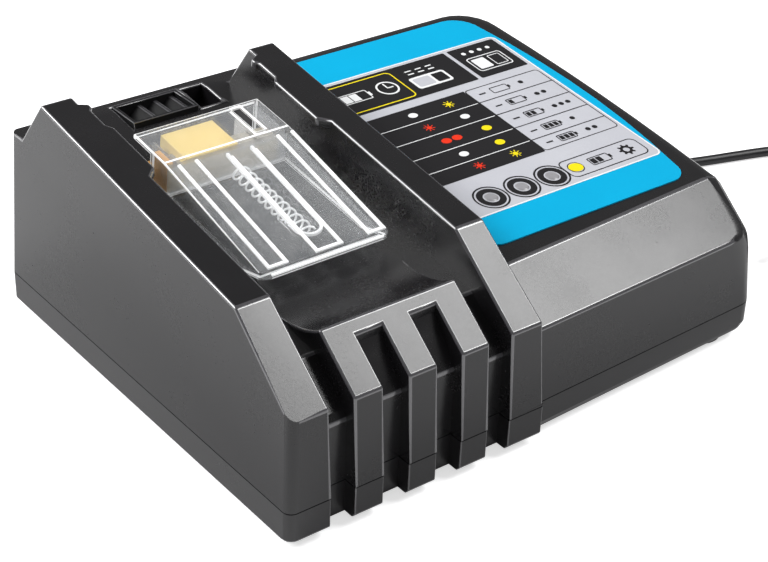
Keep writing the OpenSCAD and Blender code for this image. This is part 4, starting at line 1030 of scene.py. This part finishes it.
@dataclass
class PrintedLabel:
    """Blue film with generic charge-state symbols, laid on it as thin ink.

    Attributes:
        film_top: Height of the film above the label plane.
        step: Thickness of one layer of ink.
        left: Left-hand edge of the printed field.
        right: Right-hand edge of the printed field.
        split: Where the dark columns of the table end.
        rows: Lines between the rows of the table, along the plane.
        lens_x: Places of the three indicator lenses.
        lens_s: The lenses, along the plane.
        mark_x: Middles of the two columns of state lights.
        shape: The printed patches so far.
        inks: The inks that they use, in the order of their first use.
    """

    film_top: float = 0.4
    step: float = 0.03
    left: float = 97.5
    right: float = 179.6
    split: float = 146.0
    rows: tuple[float, ...] = (83.0, 74.4, 65.4, 56.0, 47.4, 40.0)
    lens_x: tuple[float, ...] = (112.5, 125.2, 137.9)
    lens_s: float = 27.5
    mark_x: Flat = (121.0, 136.2)
    shape: Shape = field(default_factory=bmesh.new)
    inks: list[Finish] = field(default_factory=list)

    def _ink(self, finish: Finish) -> int:
        """Gives the number of an ink among the label's materials."""
        if finish not in self.inks:
            self.inks.append(finish)
        return self.inks.index(finish)

    def patch(self, points: Sequence[Flat], finish: Finish, layer: int) -> None:
        """Prints one filled outline.

        Args:
            points: Its corners, as x and distance along the plane.
            finish: The ink.
            layer: Which layer it is, from 1.
        """
        area = sum(a[0] * b[1] - b[0] * a[1] for a, b in zip(points, list(points[1:]) + [points[0]]))
        ordered = list(points) if area > 0 else list(reversed(points))
        h = self.film_top + self.step * layer
        face = self.shape.faces.new([self.shape.verts.new(CASE.on_label(x, s, h)) for x, s in ordered])
        face.material_index = self._ink(finish)

    def loop(self, outer: Sequence[Flat], inner: Sequence[Flat], finish: Finish, layer: int) -> None:
        """Prints the band between two outlines of as many points."""
        count = len(outer)
        for i in range(count):
            j = (i + 1) % count
            self.patch([outer[i], outer[j], inner[j], inner[i]], finish, layer)

    @staticmethod
    def rounded(x0: float, s0: float, x1: float, s1: float, r: float, steps: int = 6) -> list[Flat]:
        """Gives the outline of a rectangle with round corners."""
        points: list[Flat] = []
        corners = ((x1 - r, s1 - r), (x0 + r, s1 - r), (x0 + r, s0 + r), (x1 - r, s0 + r))
        for start, (cx, cs) in zip((0, 90, 180, 270), corners):
            for k in range(steps + 1):
                a = math.radians(start + 90 * k / steps)
                points.append((cx + r * math.cos(a), cs + r * math.sin(a)))
        return points

    def box(
        self, x0: float, s0: float, x1: float, s1: float, finish: Finish, layer: int, r: float = 0.6
    ) -> None:
        """Prints a filled rectangle with round corners."""
        self.patch(self.rounded(x0, s0, x1, s1, r), finish, layer)

    def frame(
        self, x0: float, s0: float, x1: float, s1: float, w: float, finish: Finish, layer: int, r: float = 2.0
    ) -> None:
        """Prints the outline of a rectangle with round corners, w wide."""
        outer = self.rounded(x0, s0, x1, s1, r)
        inner = self.rounded(x0 + w, s0 + w, x1 - w, s1 - w, max(r - w, 0.05))
        self.loop(outer, inner, finish, layer)

    def disc(
        self, x: float, s: float, rx: float, rs: float, finish: Finish, layer: int, steps: int = 28
    ) -> None:
        """Prints an ellipse."""
        self.patch(self._oval(x, s, rx, rs, steps), finish, layer)

    @staticmethod
    def _oval(x: float, s: float, rx: float, rs: float, steps: int) -> list[Flat]:
        """Gives points round an ellipse."""
        turn = 2 * math.pi / steps
        return [(x + rx * math.cos(k * turn), s + rs * math.sin(k * turn)) for k in range(steps)]

    def ring(self, x: float, s: float, outer: float, inner: float, finish: Finish, layer: int) -> None:
        """Prints a ring."""
        self.loop(self._oval(x, s, outer, outer, 40), self._oval(x, s, inner, inner, 40), finish, layer)

    def rays(
        self, x: float, s: float, angles: Sequence[float], inner: Flat, outer: Flat, ink: Finish,
        layer: int,
    ) -> None:
        """Prints tapering rays round a point.

        Args:
            x: The point.
            s: The point, along the plane.
            angles: Direction of each ray, in radians.
            inner: Distance and half width of a ray's near end.
            outer: The same for its far end.
            ink: The ink.
            layer: Which layer it is.
        """
        for a in angles:
            c, d = math.cos(a), math.sin(a)
            ends = ((*inner, 1), (*inner, -1), (*outer, -1), (*outer, 1))
            self.patch(
                [(x + r * c - side * half * d, s + r * d + side * half * c) for r, half, side in ends],
                ink, layer,
            )

    def star(self, x: float, s: float, finish: Finish, layer: int) -> None:
        """Prints a small flashing-light mark: a disc with rays round it."""
        self.disc(x, s, 0.95, 0.95, finish, layer, 16)
        self.rays(
            x, s, [math.pi * (k + 0.5) / 4 for k in range(8)], (1.15, 0.24), (2.1, 0.12), finish, layer
        )

    def cell(self, x: float, s: float, size: float, bars: int, finish: Finish, layer: int) -> None:
        """Prints a battery mark.

        Args:
            x: Its middle.
            s: Its middle, along the plane.
            size: Its length.
            bars: How many of its three bars are full.
            finish: The ink.
            layer: Which layer it is.
        """
        w, h, line = size, size * 0.5, 0.38
        self.frame(x - w / 2, s - h / 2, x + w / 2, s + h / 2, line, finish, layer, r=0.7)
        self.box(x + w / 2, s - h * 0.2, x + w / 2 + 0.8, s + h * 0.2, finish, layer, r=0.2)
        for k in range(bars):
            x0 = x - w / 2 + 0.75 + k * (w - 1.2) / 3
            self.box(x0, s - h / 2 + 0.75, x0 + (w - 2.4) / 3, s + h / 2 - 0.75, finish, layer, r=0.1)

    def _field(self) -> None:
        """Prints the pale field, the dark heading boxes and the table."""
        self.box(self.left, 20.6, self.right + 0.3, 108.6, Stock.ink_grey, 1, r=2.4)
        self.frame(self.left - 0.5, 20.1, self.right + 0.8, 109.1, 0.6, Stock.ink_white, 2, r=2.8)
        self.box(self.left + 1.2, 87.0, 156.4, 107.4, Stock.ink_black, 2)
        self.box(157.9, 87.0, self.right - 0.9, 107.4, Stock.ink_black, 2)
        self.box(self.left + 1.2, self.rows[-1], self.split, self.rows[0], Stock.ink_black, 2, r=0.3)
        self.frame(self.split, self.rows[-1], self.right - 0.6, self.rows[0], 0.4, Stock.ink_black, 2, r=1.6)
        for s in self.rows[1:-1]:
            self.box(self.left + 1.8, s - 0.17, self.split - 0.6, s + 0.17, Stock.ink_white, 3, r=0.1)
            self.box(self.split, s - 0.2, self.right - 0.6, s + 0.2, Stock.ink_black, 3, r=0.1)

    def _marks(self) -> None:
        """Prints the state lights of the table and a plain mark for each state."""
        white, yellow, red, black = Stock.ink_white, Stock.ink_yellow, Stock.ink_red, Stock.ink_black
        left, right = self.mark_x
        middles = [(a + b) / 2 for a, b in zip(self.rows, self.rows[1:])]
        wide, small = (1.9, 1.5), (1.8, 1.4)
        # Row, place, size of a steady light or None for a flashing one, and ink
        states: tuple[tuple[int, float, Flat | None, Finish], ...] = (
            (0, left, small, white), (0, right, None, yellow), (1, left, None, red),
            (1, right, small, white), (2, left, wide, red), (2, left + 4.4, wide, red),
            (2, right + 1.8, wide, yellow), (3, left, small, white), (3, right, wide, yellow),
            (4, left, None, red), (4, right, None, yellow),
        )
        for row, x, size, ink in states:
            if size:
                self.disc(x, middles[row], *size, ink, 3)
            else:
                self.star(x, middles[row], ink, 3)
        for k, s in enumerate(middles):
            self.cell(158.6, s, 7.4, min(k, 3), black, 3)
            for n in range(k % 3 + 1):
                self.disc(168.0 + 3.0 * n, s, 1.0, 1.0, black, 3, 14)
            self.box(149.6, s - 0.35, 152.4, s + 0.35, black, 3, r=0.1)

    def _heading(self) -> None:
        """Prints the plain symbols of the heading boxes."""
        white, yellow = Stock.ink_white, Stock.ink_yellow
        self.frame(self.left + 2.6, 88.4, 131.0, 106.0, 0.5, yellow, 3, r=2.2)
        self.cell(110.8, 97.2, 11.6, 2, white, 3)
        self.ring(124.4, 97.2, 4.2, 3.5, white, 3)
        self.box(124.1, 96.9, 124.7, 100.2, white, 3, r=0.1)
        self.box(124.1, 96.9, 126.9, 97.5, white, 3, r=0.1)
        self.box(134.0, 91.2, 149.0, 98.6, white, 3, r=1.2)
        self.box(135.0, 92.2, 142.0, 97.6, Stock.ink_grey, 4, r=0.8)
        self.box(143.0, 92.2, 148.0, 97.6, Stock.ink_black, 4, r=0.6)
        for x in (136.0, 140.4, 144.8):
            for s in (100.6, 102.6):
                self.box(x, s, x + 2.6, s + 0.6, white, 3, r=0.1)
        self.frame(160.4, 90.6, 175.6, 100.0, 0.45, white, 3, r=1.4)
        self.box(161.8, 92.0, 167.4, 98.6, white, 3, r=0.5)
        self.frame(169.0, 92.0, 174.2, 98.6, 0.35, white, 3, r=0.6)
        for n in range(4):
            self.disc(162.6 + 3.6 * n, 103.4, 0.9, 0.9, white, 3, 14)

    def _lights(self) -> None:
        """Prints the rings round the lenses and the row of symbols beside them."""
        black = Stock.ink_black
        for x in self.lens_x:
            self.ring(x, self.lens_s, 6.15, 5.5, black, 2)
            self.ring(x, self.lens_s, 4.9, 2.75, black, 2)
        self.frame(143.6, 22.6, 177.4, 32.6, 0.45, black, 2, r=2.6)
        s = self.lens_s + 0.1
        self.disc(148.2, s, 2.7, 2.3, Stock.ink_yellow, 3)
        self.ring(148.2, s, 2.95, 2.6, black, 2)
        self.cell(158.6, s, 8.6, 2, black, 3)
        self.ring(170.6, s, 2.2, 1.2, black, 3)
        self.rays(170.6, s, [math.pi * k / 4 for k in range(8)], (2.1, 0.5), (3.0, 0.35), black, 3)

    def build(self) -> None:
        """Prints the whole label and dresses the film and the lenses."""
        self._field()
        self._heading()
        self._marks()
        self._lights()
        new_piece("label_inks", finished("label_inks", self.shape, *self.inks), "case")
        dress(Stock.blue_film, "label_panel")
        dress(Stock.lens, "led_lenses")
        dress(Stock.board, "led_board")


# ---- what is inside


@dataclass
class Innards:
    """Vent, blower and electronics, which show only through the vent and the slots.

    Attributes:
        winding_turns: Turns of wire on the choke.
        choke: Middle of the choke in the case frame.
        choke_radius: Mean radius of its ring.
        loop_radius: Radius of one loop of wire round the ring.
        wire: Diameter of its wire.
        vent_edge: Radius of the grille's edges.
    """

    winding_turns: int = 26
    choke: Point = (148.5, 79.0, 12.3)
    choke_radius: float = 5.8
    loop_radius: float = 2.7
    wire: float = 0.8
    vent_edge: float = 0.3

    def _winding(self) -> Mesh:
        """Lays loops of wire round the choke with Geometry Nodes."""
        sizes = {
            "Turns": self.winding_turns, "Ring radius": self.choke_radius * MM,
            "Loop radius": self.loop_radius * MM, "Wire radius": self.wire / 2 * MM,
        }
        tree, size = new_tree("choke_winding", sizes)
        circle = "GeometryNodeCurvePrimitiveCircle"
        ring = out(tree, circle, links={"Resolution": size["Turns"], "Radius": size["Ring radius"]})
        loop = out(tree, circle, values={"Resolution": 12}, links={"Radius": size["Loop radius"]})
        points = add_node(tree, "GeometryNodeCurveToPoints", {"mode": "EVALUATED"}, links={"Curve": ring})
        turns = out(tree, "GeometryNodeInstanceOnPoints", links={
            "Points": points.outputs["Points"], "Instance": swept(tree, loop, 6, size["Wire radius"]),
            "Rotation": points.outputs["Rotation"],
        })
        end_tree(tree, turns, Stock.copper)
        return grown("choke_winding", tree, sizes)

    def build(self) -> None:
        """Makes the vent's eased frame and the winding, and dresses every other piece inside."""
        # The grille's near-black colour is painted shade, and its rounded edges take the lighter finish, a
        # painted highlight
        eased_copy(
            "vent_grille", "vent_frame", self.vent_edge, Stock.vent_abs_painted_shade, segments=2,
            edge=Stock.edge_abs_painted_highlight,
        )
        mesh = self._winding()
        mesh.transform(Matrix.Translation(CASE.point(*self.choke)))
        smooth(mesh, 60.0)
        new_piece("choke_winding", mesh, "case")
        for finish, nodes in (
            (Stock.dark_abs, ("air_duct", "blower_housing", "blower_lid", "blower_wheel",
                              "power_transistors", "buzzer", "cord_clamp")),
            (Stock.nickel, ("blower_motor",)), (Stock.board, ("main_board",)),
            (Stock.tape, ("transformer",)), (Stock.sleeve, ("bulk_capacitors", "output_capacitors")),
            (Stock.extruded, ("heat_sink",)), (Stock.copper, ("mains_choke",)),
            (Stock.glass_tube, ("fuse",)), (Stock.nylon, ("mains_terminal",)),
            (Stock.red_wire, ("battery_leads",)), (Stock.vinyl, ("mains_lead",)),
        ):
            dress(finish, *nodes)


# ---- mains lead


def tube_mesh(name: str, path: Sequence[Vector], radius: float, sides: int, finish: Finish) -> Mesh:
    """Makes one closed round tube along a path that never stands upright.

    Args:
        name: Name of the mesh.
        path: Its middle line, in metres.
        radius: Its radius, in metres.
        sides: Faces round it.
        finish: Its finish.

    Returns:
        The mesh.
    """
    shape = bmesh.new()
    rings = []
    last = len(path) - 1
    turns = [2 * math.pi * k / sides for k in range(sides)]
    for i, p in enumerate(path):
        along = (path[min(i + 1, last)] - path[max(i - 1, 0)]).normalized()
        side = along.cross(Vector((0, 0, 1))).normalized()
        up = along.cross(side)
        rings.append([p + radius * (math.cos(a) * side + math.sin(a) * up) for a in turns])
    skin(shape, rings)
    bmesh.ops.recalc_face_normals(shape, faces=shape.faces)
    mesh = finished(name, shape, finish)
    smooth(mesh, 50.0)
    return mesh


@dataclass
class MainsLead:
    """Slim mains lead: its free run, its coil and its two-pin plug.

    Attributes:
        diameter: Diameter of the lead.
        exit: Where it leaves the back of the case, in the row frame.
        coil_centre: Middle of the coil.
        coil_start: Angle at which the coil starts, in degrees.
        coil_turns: Turns in the coil.
        coil_layers: Layers in the coil.
        coil_pitch: Distance between turns.
        coil_mean: Mean diameter of the coil.
        coil_z: Height of the first layer.
        rings: Points on each turn.
        guard_tip: Where the guard ends, behind the part's origin.
        first_bend: Radius of the bend behind the case.
        falls: Height of the lead at each 15 degrees of that bend.
        lay: Points of the free run on the table, up to the coil.
        plug_reach: How far the lead's end in the plug lies from the end of the coil.
        plug_z: Height of that end.
        straight: Straight lengths before and after the tail's two bends.
        plug_edge: Radius of the plug's edges.
        grip_at: First rib of the plug's grip, from the end of the lead.
    """

    diameter: float = 3.8
    exit: Point = (74.25, 80.5, 13.6)
    coil_centre: Flat = (221.45, -27.5)
    coil_start: float = 71.0
    coil_turns: float = 10.447
    coil_layers: int = 4
    coil_pitch: float = 4.35
    coil_mean: float = 43.8
    coil_z: float = 2.75
    rings: int = 24
    guard_tip: float = 108.0
    first_bend: float = 21.75
    falls: tuple[float, ...] = (11, 9.3, 7.4, 5.6, 4, 2.8, 2.2)
    lay: tuple[Point, ...] = (
        (103.4, 143.2, 2), (111, 140.4, 2), (117.8, 134.8, 2), (123.6, 127, 2), (127.8, 118, 2),
        (130.6, 108.2, 2), (132.4, 98, 2), (133.6, 87.6, 2), (134.4, 77, 2), (135.2, 66.4, 2),
        (136.6, 56, 2), (139.4, 46, 2), (144, 37.2, 2), (150.8, 29.3, 2), (159.6, 23.4, 2),
        (169.4, 19.8, 2), (179.7, 16.7, 2), (190.1, 13.5, 2), (200.8, 9.9, 2.1),
    )
    plug_reach: float = 29.0
    plug_z: float = 6.9
    straight: Flat = (4.0, 2.0)
    plug_edge: float = 0.8
    grip_at: Point = (-29.5, 0.0, 6.75)

    def _coil(self) -> list[Vector]:
        """Gives the points of the coil, in millimetres."""
        per_layer = self.coil_turns / self.coil_layers
        swing = self.coil_pitch * per_layer
        outer = self.coil_mean / 2 + swing / 2
        steps = round(self.coil_turns * self.rings)
        points = []
        for i in range(steps + 1):
            n = i * self.coil_turns / steps
            k = math.floor(min(n, self.coil_turns - 0.01) / per_layer)
            u = n - k * per_layer
            r = outer - self.coil_pitch * u if k % 2 == 0 else outer - swing + self.coil_pitch * u
            # The lead climbs to the next layer within the half turn round each change of layer
            changes = (j * per_layer for j in range(1, self.coil_layers))
            rise = sum(min(max((n - change + 0.25) * 2, 0.0), 1.0) for change in changes)
            a = math.radians(self.coil_start - 360 * n)
            points.append(Vector((
                self.coil_centre[0] + r * math.cos(a), self.coil_centre[1] + r * math.sin(a),
                self.coil_z + self.coil_pitch * rise,
            )))
        first = self.diameter * (points[1] - points[0]).normalized()
        last = self.diameter * (points[-1] - points[-2]).normalized()
        return [points[0] - first] + points + [points[-1] + last]

    def _route(self, start: Vector, heading: Vector) -> list[Vector]:
        """Gives the points of the free run, in millimetres, up to the start of the coil."""
        (x, y, z), tip, bend = self.exit, self.guard_tip, self.first_bend
        points = [(x, y, z), (x, y + 9, z), (x, y + 18, z), (x, tip, z), (x, tip + 5, 13.2),
                  (x, tip + 9.5, 12.3)]
        for k, height in enumerate(self.falls):
            a = math.radians(15 * k)
            points.append((x + bend * (1 - math.cos(a)), tip + 14 + bend * math.sin(a), height))
        points += self.lay
        # It comes into the coil straight, and lifts to the height of its first layer
        ends = [start - 15.5 * heading - Vector((0, 0, 0.3)), start - 7 * heading, start]
        return [Vector(p) for p in points] + ends

    def _tail(self, start: Vector, heading: Vector) -> list[Vector]:
        """Gives the points from the coil down to the plug, in two equal bends, in millimetres."""
        plug = Vector((start.x - self.plug_reach, start.y, self.plug_z))
        knee = start + self.straight[0] * heading
        foot = plug + Vector((self.straight[1], 0, 0))
        dx, dz = knee.x - foot.x, knee.z - foot.z
        r = (dx * dx + dz * dz) / (4 * dz)
        turns = [math.asin(dx / 2 / r) * k / 4 for k in range(5)]
        bends = [Vector((r * math.sin(a), 0, r * (1 - math.cos(a)))) for a in turns]
        return [start] + [knee - b for b in bends] + [foot + b for b in reversed(bends[:-1])] + [plug]

    @staticmethod
    def _smoothed(points: Sequence[Vector], steps: int) -> list[Vector]:
        """Passes a smooth curve through points, with steps pieces between two of them."""
        curve = []
        for i in range(len(points) - 1):
            p0, p1 = points[max(i - 1, 0)], points[i]
            p2, p3 = points[i + 1], points[min(i + 2, len(points) - 1)]
            for k in range(steps):
                t = k / steps
                curve.append(0.5 * (
                    2 * p1 + (p2 - p0) * t + (2 * p0 - 5 * p1 + 4 * p2 - p3) * t * t
                    + (3 * p1 - p0 - 3 * p2 + p3) * t ** 3
                ))
        return curve + [points[-1]]

    def _grip(self, back: Vector) -> Mesh:
        """Sets short ribs on both faces of the plug with Geometry Nodes."""
        sizes = {"Count": 5, "Pitch": 0.0031, "Rib": (0.0012, 0.015, 0.0007)}
        tree, size = new_tree("plug_grip", sizes)
        step = out(tree, "ShaderNodeCombineXYZ", links={"X": size["Pitch"]})
        line = out(
            tree, "GeometryNodeMeshLine", {"mode": "OFFSET"}, links={"Count": size["Count"], "Offset": step}
        )
        rib = out(tree, "GeometryNodeMeshCube", links={"Size": size["Rib"]})
        row = out(tree, "GeometryNodeInstanceOnPoints", links={"Points": line, "Instance": rib})
        end_tree(tree, row, Stock.vinyl)
        mesh = grown("plug_grip", tree, sizes)
        mesh.transform(Matrix.Translation((back + Vector(self.grip_at)) * MM))
        return mesh

    def build(self) -> None:
        coil = self._coil()
        route = self._route(coil[0], (coil[2] - coil[1]).normalized())
        tail = self._tail(coil[-1], (coil[-2] - coil[-3]).normalized())
        line = self._smoothed(route, 3) + coil[1:-1] + self._smoothed(tail, 3)
        path = [p * MM for p in line]
        mesh = tube_mesh("mains_flex", path, self.diameter / 2 * MM, 12, Stock.vinyl)
        flex = new_piece("mains_flex", mesh, "case")
        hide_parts("cord_run", "cord_coil", "cord_tail")
        plug = eased_copy("plug_body", "plug_shell", self.plug_edge, Stock.vinyl)
        grip = new_piece("plug_grip", self._grip(tail[-1]), "case")
        dress(Stock.nickel, "plug_pins")
        dress(Stock.rubber, "cord_guard")
        dress(Stock.strap, "cord_tie")


# ---- camera, floor and light


@dataclass
class Studio:
    """Camera, pale floor and soft lamps.

    Attributes:
        eye: Where the camera stands, in metres.
        right: The camera's right-hand direction.
        down: The camera's downward direction.
        forward: Where the camera looks.
        lens: Focal length for a 36 mm sensor.
        sky_level: Strength of the even light from all round.
        floor_glow: How much the camera sees the floor lifted towards white.
        lamps: Name, direction, distance, size, radiance and aim of each soft box.
    """

    eye: Point = (-0.329759, -0.413180, 0.335170)
    right: Point = (0.7955278, -0.6052165, 0.0291287)
    down: Point = (-0.2937702, -0.4272998, -0.8550520)
    forward: Point = (0.5299383, 0.6716606, -0.5177234)
    lens: float = 87.87
    sky_level: float = 0.23
    floor_glow: float = 0.64
    lamps: tuple[tuple[str, Point, float, Flat, float, Point], ...] = (
        ("key_softbox", (0.55, -0.345, 0.76), 1.3, (0.56, 0.6), 10.4, (0.0, 0.0, 0.04)),
        ("edge_softbox", (-0.57, 0.6, 0.56), 1.4, (0.9, 0.6), 6.0, (0.0, 0.0, 0.04)),
        ("floor_wash", (-0.35, 0.3, 0.88), 0.75, (0.6, 0.6), 6.0, (-0.38, 0.22, 0.0)),
    )

    def camera(self) -> None:
        """Sets the camera that took the photograph."""
        data = bpy.data.cameras.new("camera")
        data.sensor_width = 36.0
        data.lens = self.lens
        data.clip_start = 0.01
        data.clip_end = 20.0
        eye = placed("camera", data)
        columns = (Vector(self.right), -Vector(self.down), -Vector(self.forward))
        turn = Matrix.Identity(4)
        for c, axis in enumerate(columns):
            for r in range(3):
                turn[r][c] = axis[r]
        eye.matrix_world = Matrix.Translation(self.eye) @ turn
        bpy.context.scene.camera = eye

    def floor(self) -> None:
        """Lays a pale floor that keeps the object's shadow and shows white to the camera."""
        shape = bmesh.new()
        bmesh.ops.create_grid(shape, x_segments=1, y_segments=1, size=3.0)
        mesh = finished("floor", shape)
        material = bpy.data.materials.new("paper_white")
        material.use_nodes = True
        tree = material.node_tree
        tree.nodes.clear()
        rays = add_node(tree, "ShaderNodeLightPath")
        paper = out(
            tree, "ShaderNodeBsdfPrincipled",
            values={"Base Color": linear("#f2f2f3"), "Roughness": 0.9, "IOR": 1.2},
        )
        lit = out(
            tree, "ShaderNodeMath", {"operation": "MULTIPLY"}, {1: self.floor_glow},
            {0: rays.outputs["Is Camera Ray"]},
        )
        glow = out(tree, "ShaderNodeEmission", values={"Color": (1, 1, 1, 1)}, links={"Strength": lit})
        both = out(tree, "ShaderNodeAddShader", links={0: paper, 1: glow})
        add_node(tree, "ShaderNodeOutputMaterial", links={"Surface": both})
        mesh.materials.append(material)
        placed("floor", mesh)

    @staticmethod
    def lamp(
        name: str, toward: Point, distance: float, size: Flat, radiance: float, aim: Point
    ) -> None:
        """Hangs one soft box that faces the object or the floor beside it.

        Args:
            name: Name of the lamp.
            toward: Direction from that point to the lamp.
            distance: How far away it hangs.
            size: Its width and height.
            radiance: How bright its face is, where white paper in full light is 1.
            aim: The point that it faces.
        """
        data = bpy.data.lights.new(name, "AREA")
        data.shape = "RECTANGLE"
        data.size, data.size_y = size
        data.energy = radiance * math.pi * size[0] * size[1]
        lamp = placed(name, data)
        way = Vector(toward).normalized()
        lamp.location = Vector(aim) + way * distance
        lamp.rotation_euler = (-way).to_track_quat("-Z", "Y").to_euler()

    @staticmethod
    def sky(level: float) -> None:
        """Fills the world with an even light that shows white to the camera."""
        world = bpy.data.worlds.new("studio")
        bpy.context.scene.world = world
        world.use_nodes = True
        tree = world.node_tree
        tree.nodes.clear()
        rays = add_node(tree, "ShaderNodeLightPath")
        seen = out(
            tree, "ShaderNodeMath", {"operation": "MAXIMUM"},
            links={0: rays.outputs["Is Camera Ray"], 1: rays.outputs["Is Transmission Ray"]},
        )
        strength = out(
            tree, "ShaderNodeMapRange", values={1: 0.0, 2: 1.0, 3: level, 4: 1.0}, links={0: seen}
        )
        back = out(
            tree, "ShaderNodeBackground", values={"Color": (1, 1, 1, 1)}, links={"Strength": strength}
        )
        add_node(tree, "ShaderNodeOutputWorld", links={"Surface": back})

    def build(self) -> None:
        """Sets up the camera, the floor and the light."""
        scene = bpy.context.scene
        scene.view_settings.view_transform = "Standard"
        self.camera()
        self.floor()
        self.sky(self.sky_level)
        for name, toward, distance, size, radiance, aim in self.lamps:
            self.lamp(name, toward, distance, size, radiance, aim)
        LOG.info("studio: camera and lamps set")


def main() -> None:
    """Builds the charger's looks in order."""
    logging.basicConfig(level=logging.INFO, format="%(name)s: %(message)s")
    Studio().build()
    MainsLead().build()
    CaseShell().build()
    TerminalBay().build()
    PrintedLabel().build()
    Innards().build()


if __name__ == "__main__":
    main()
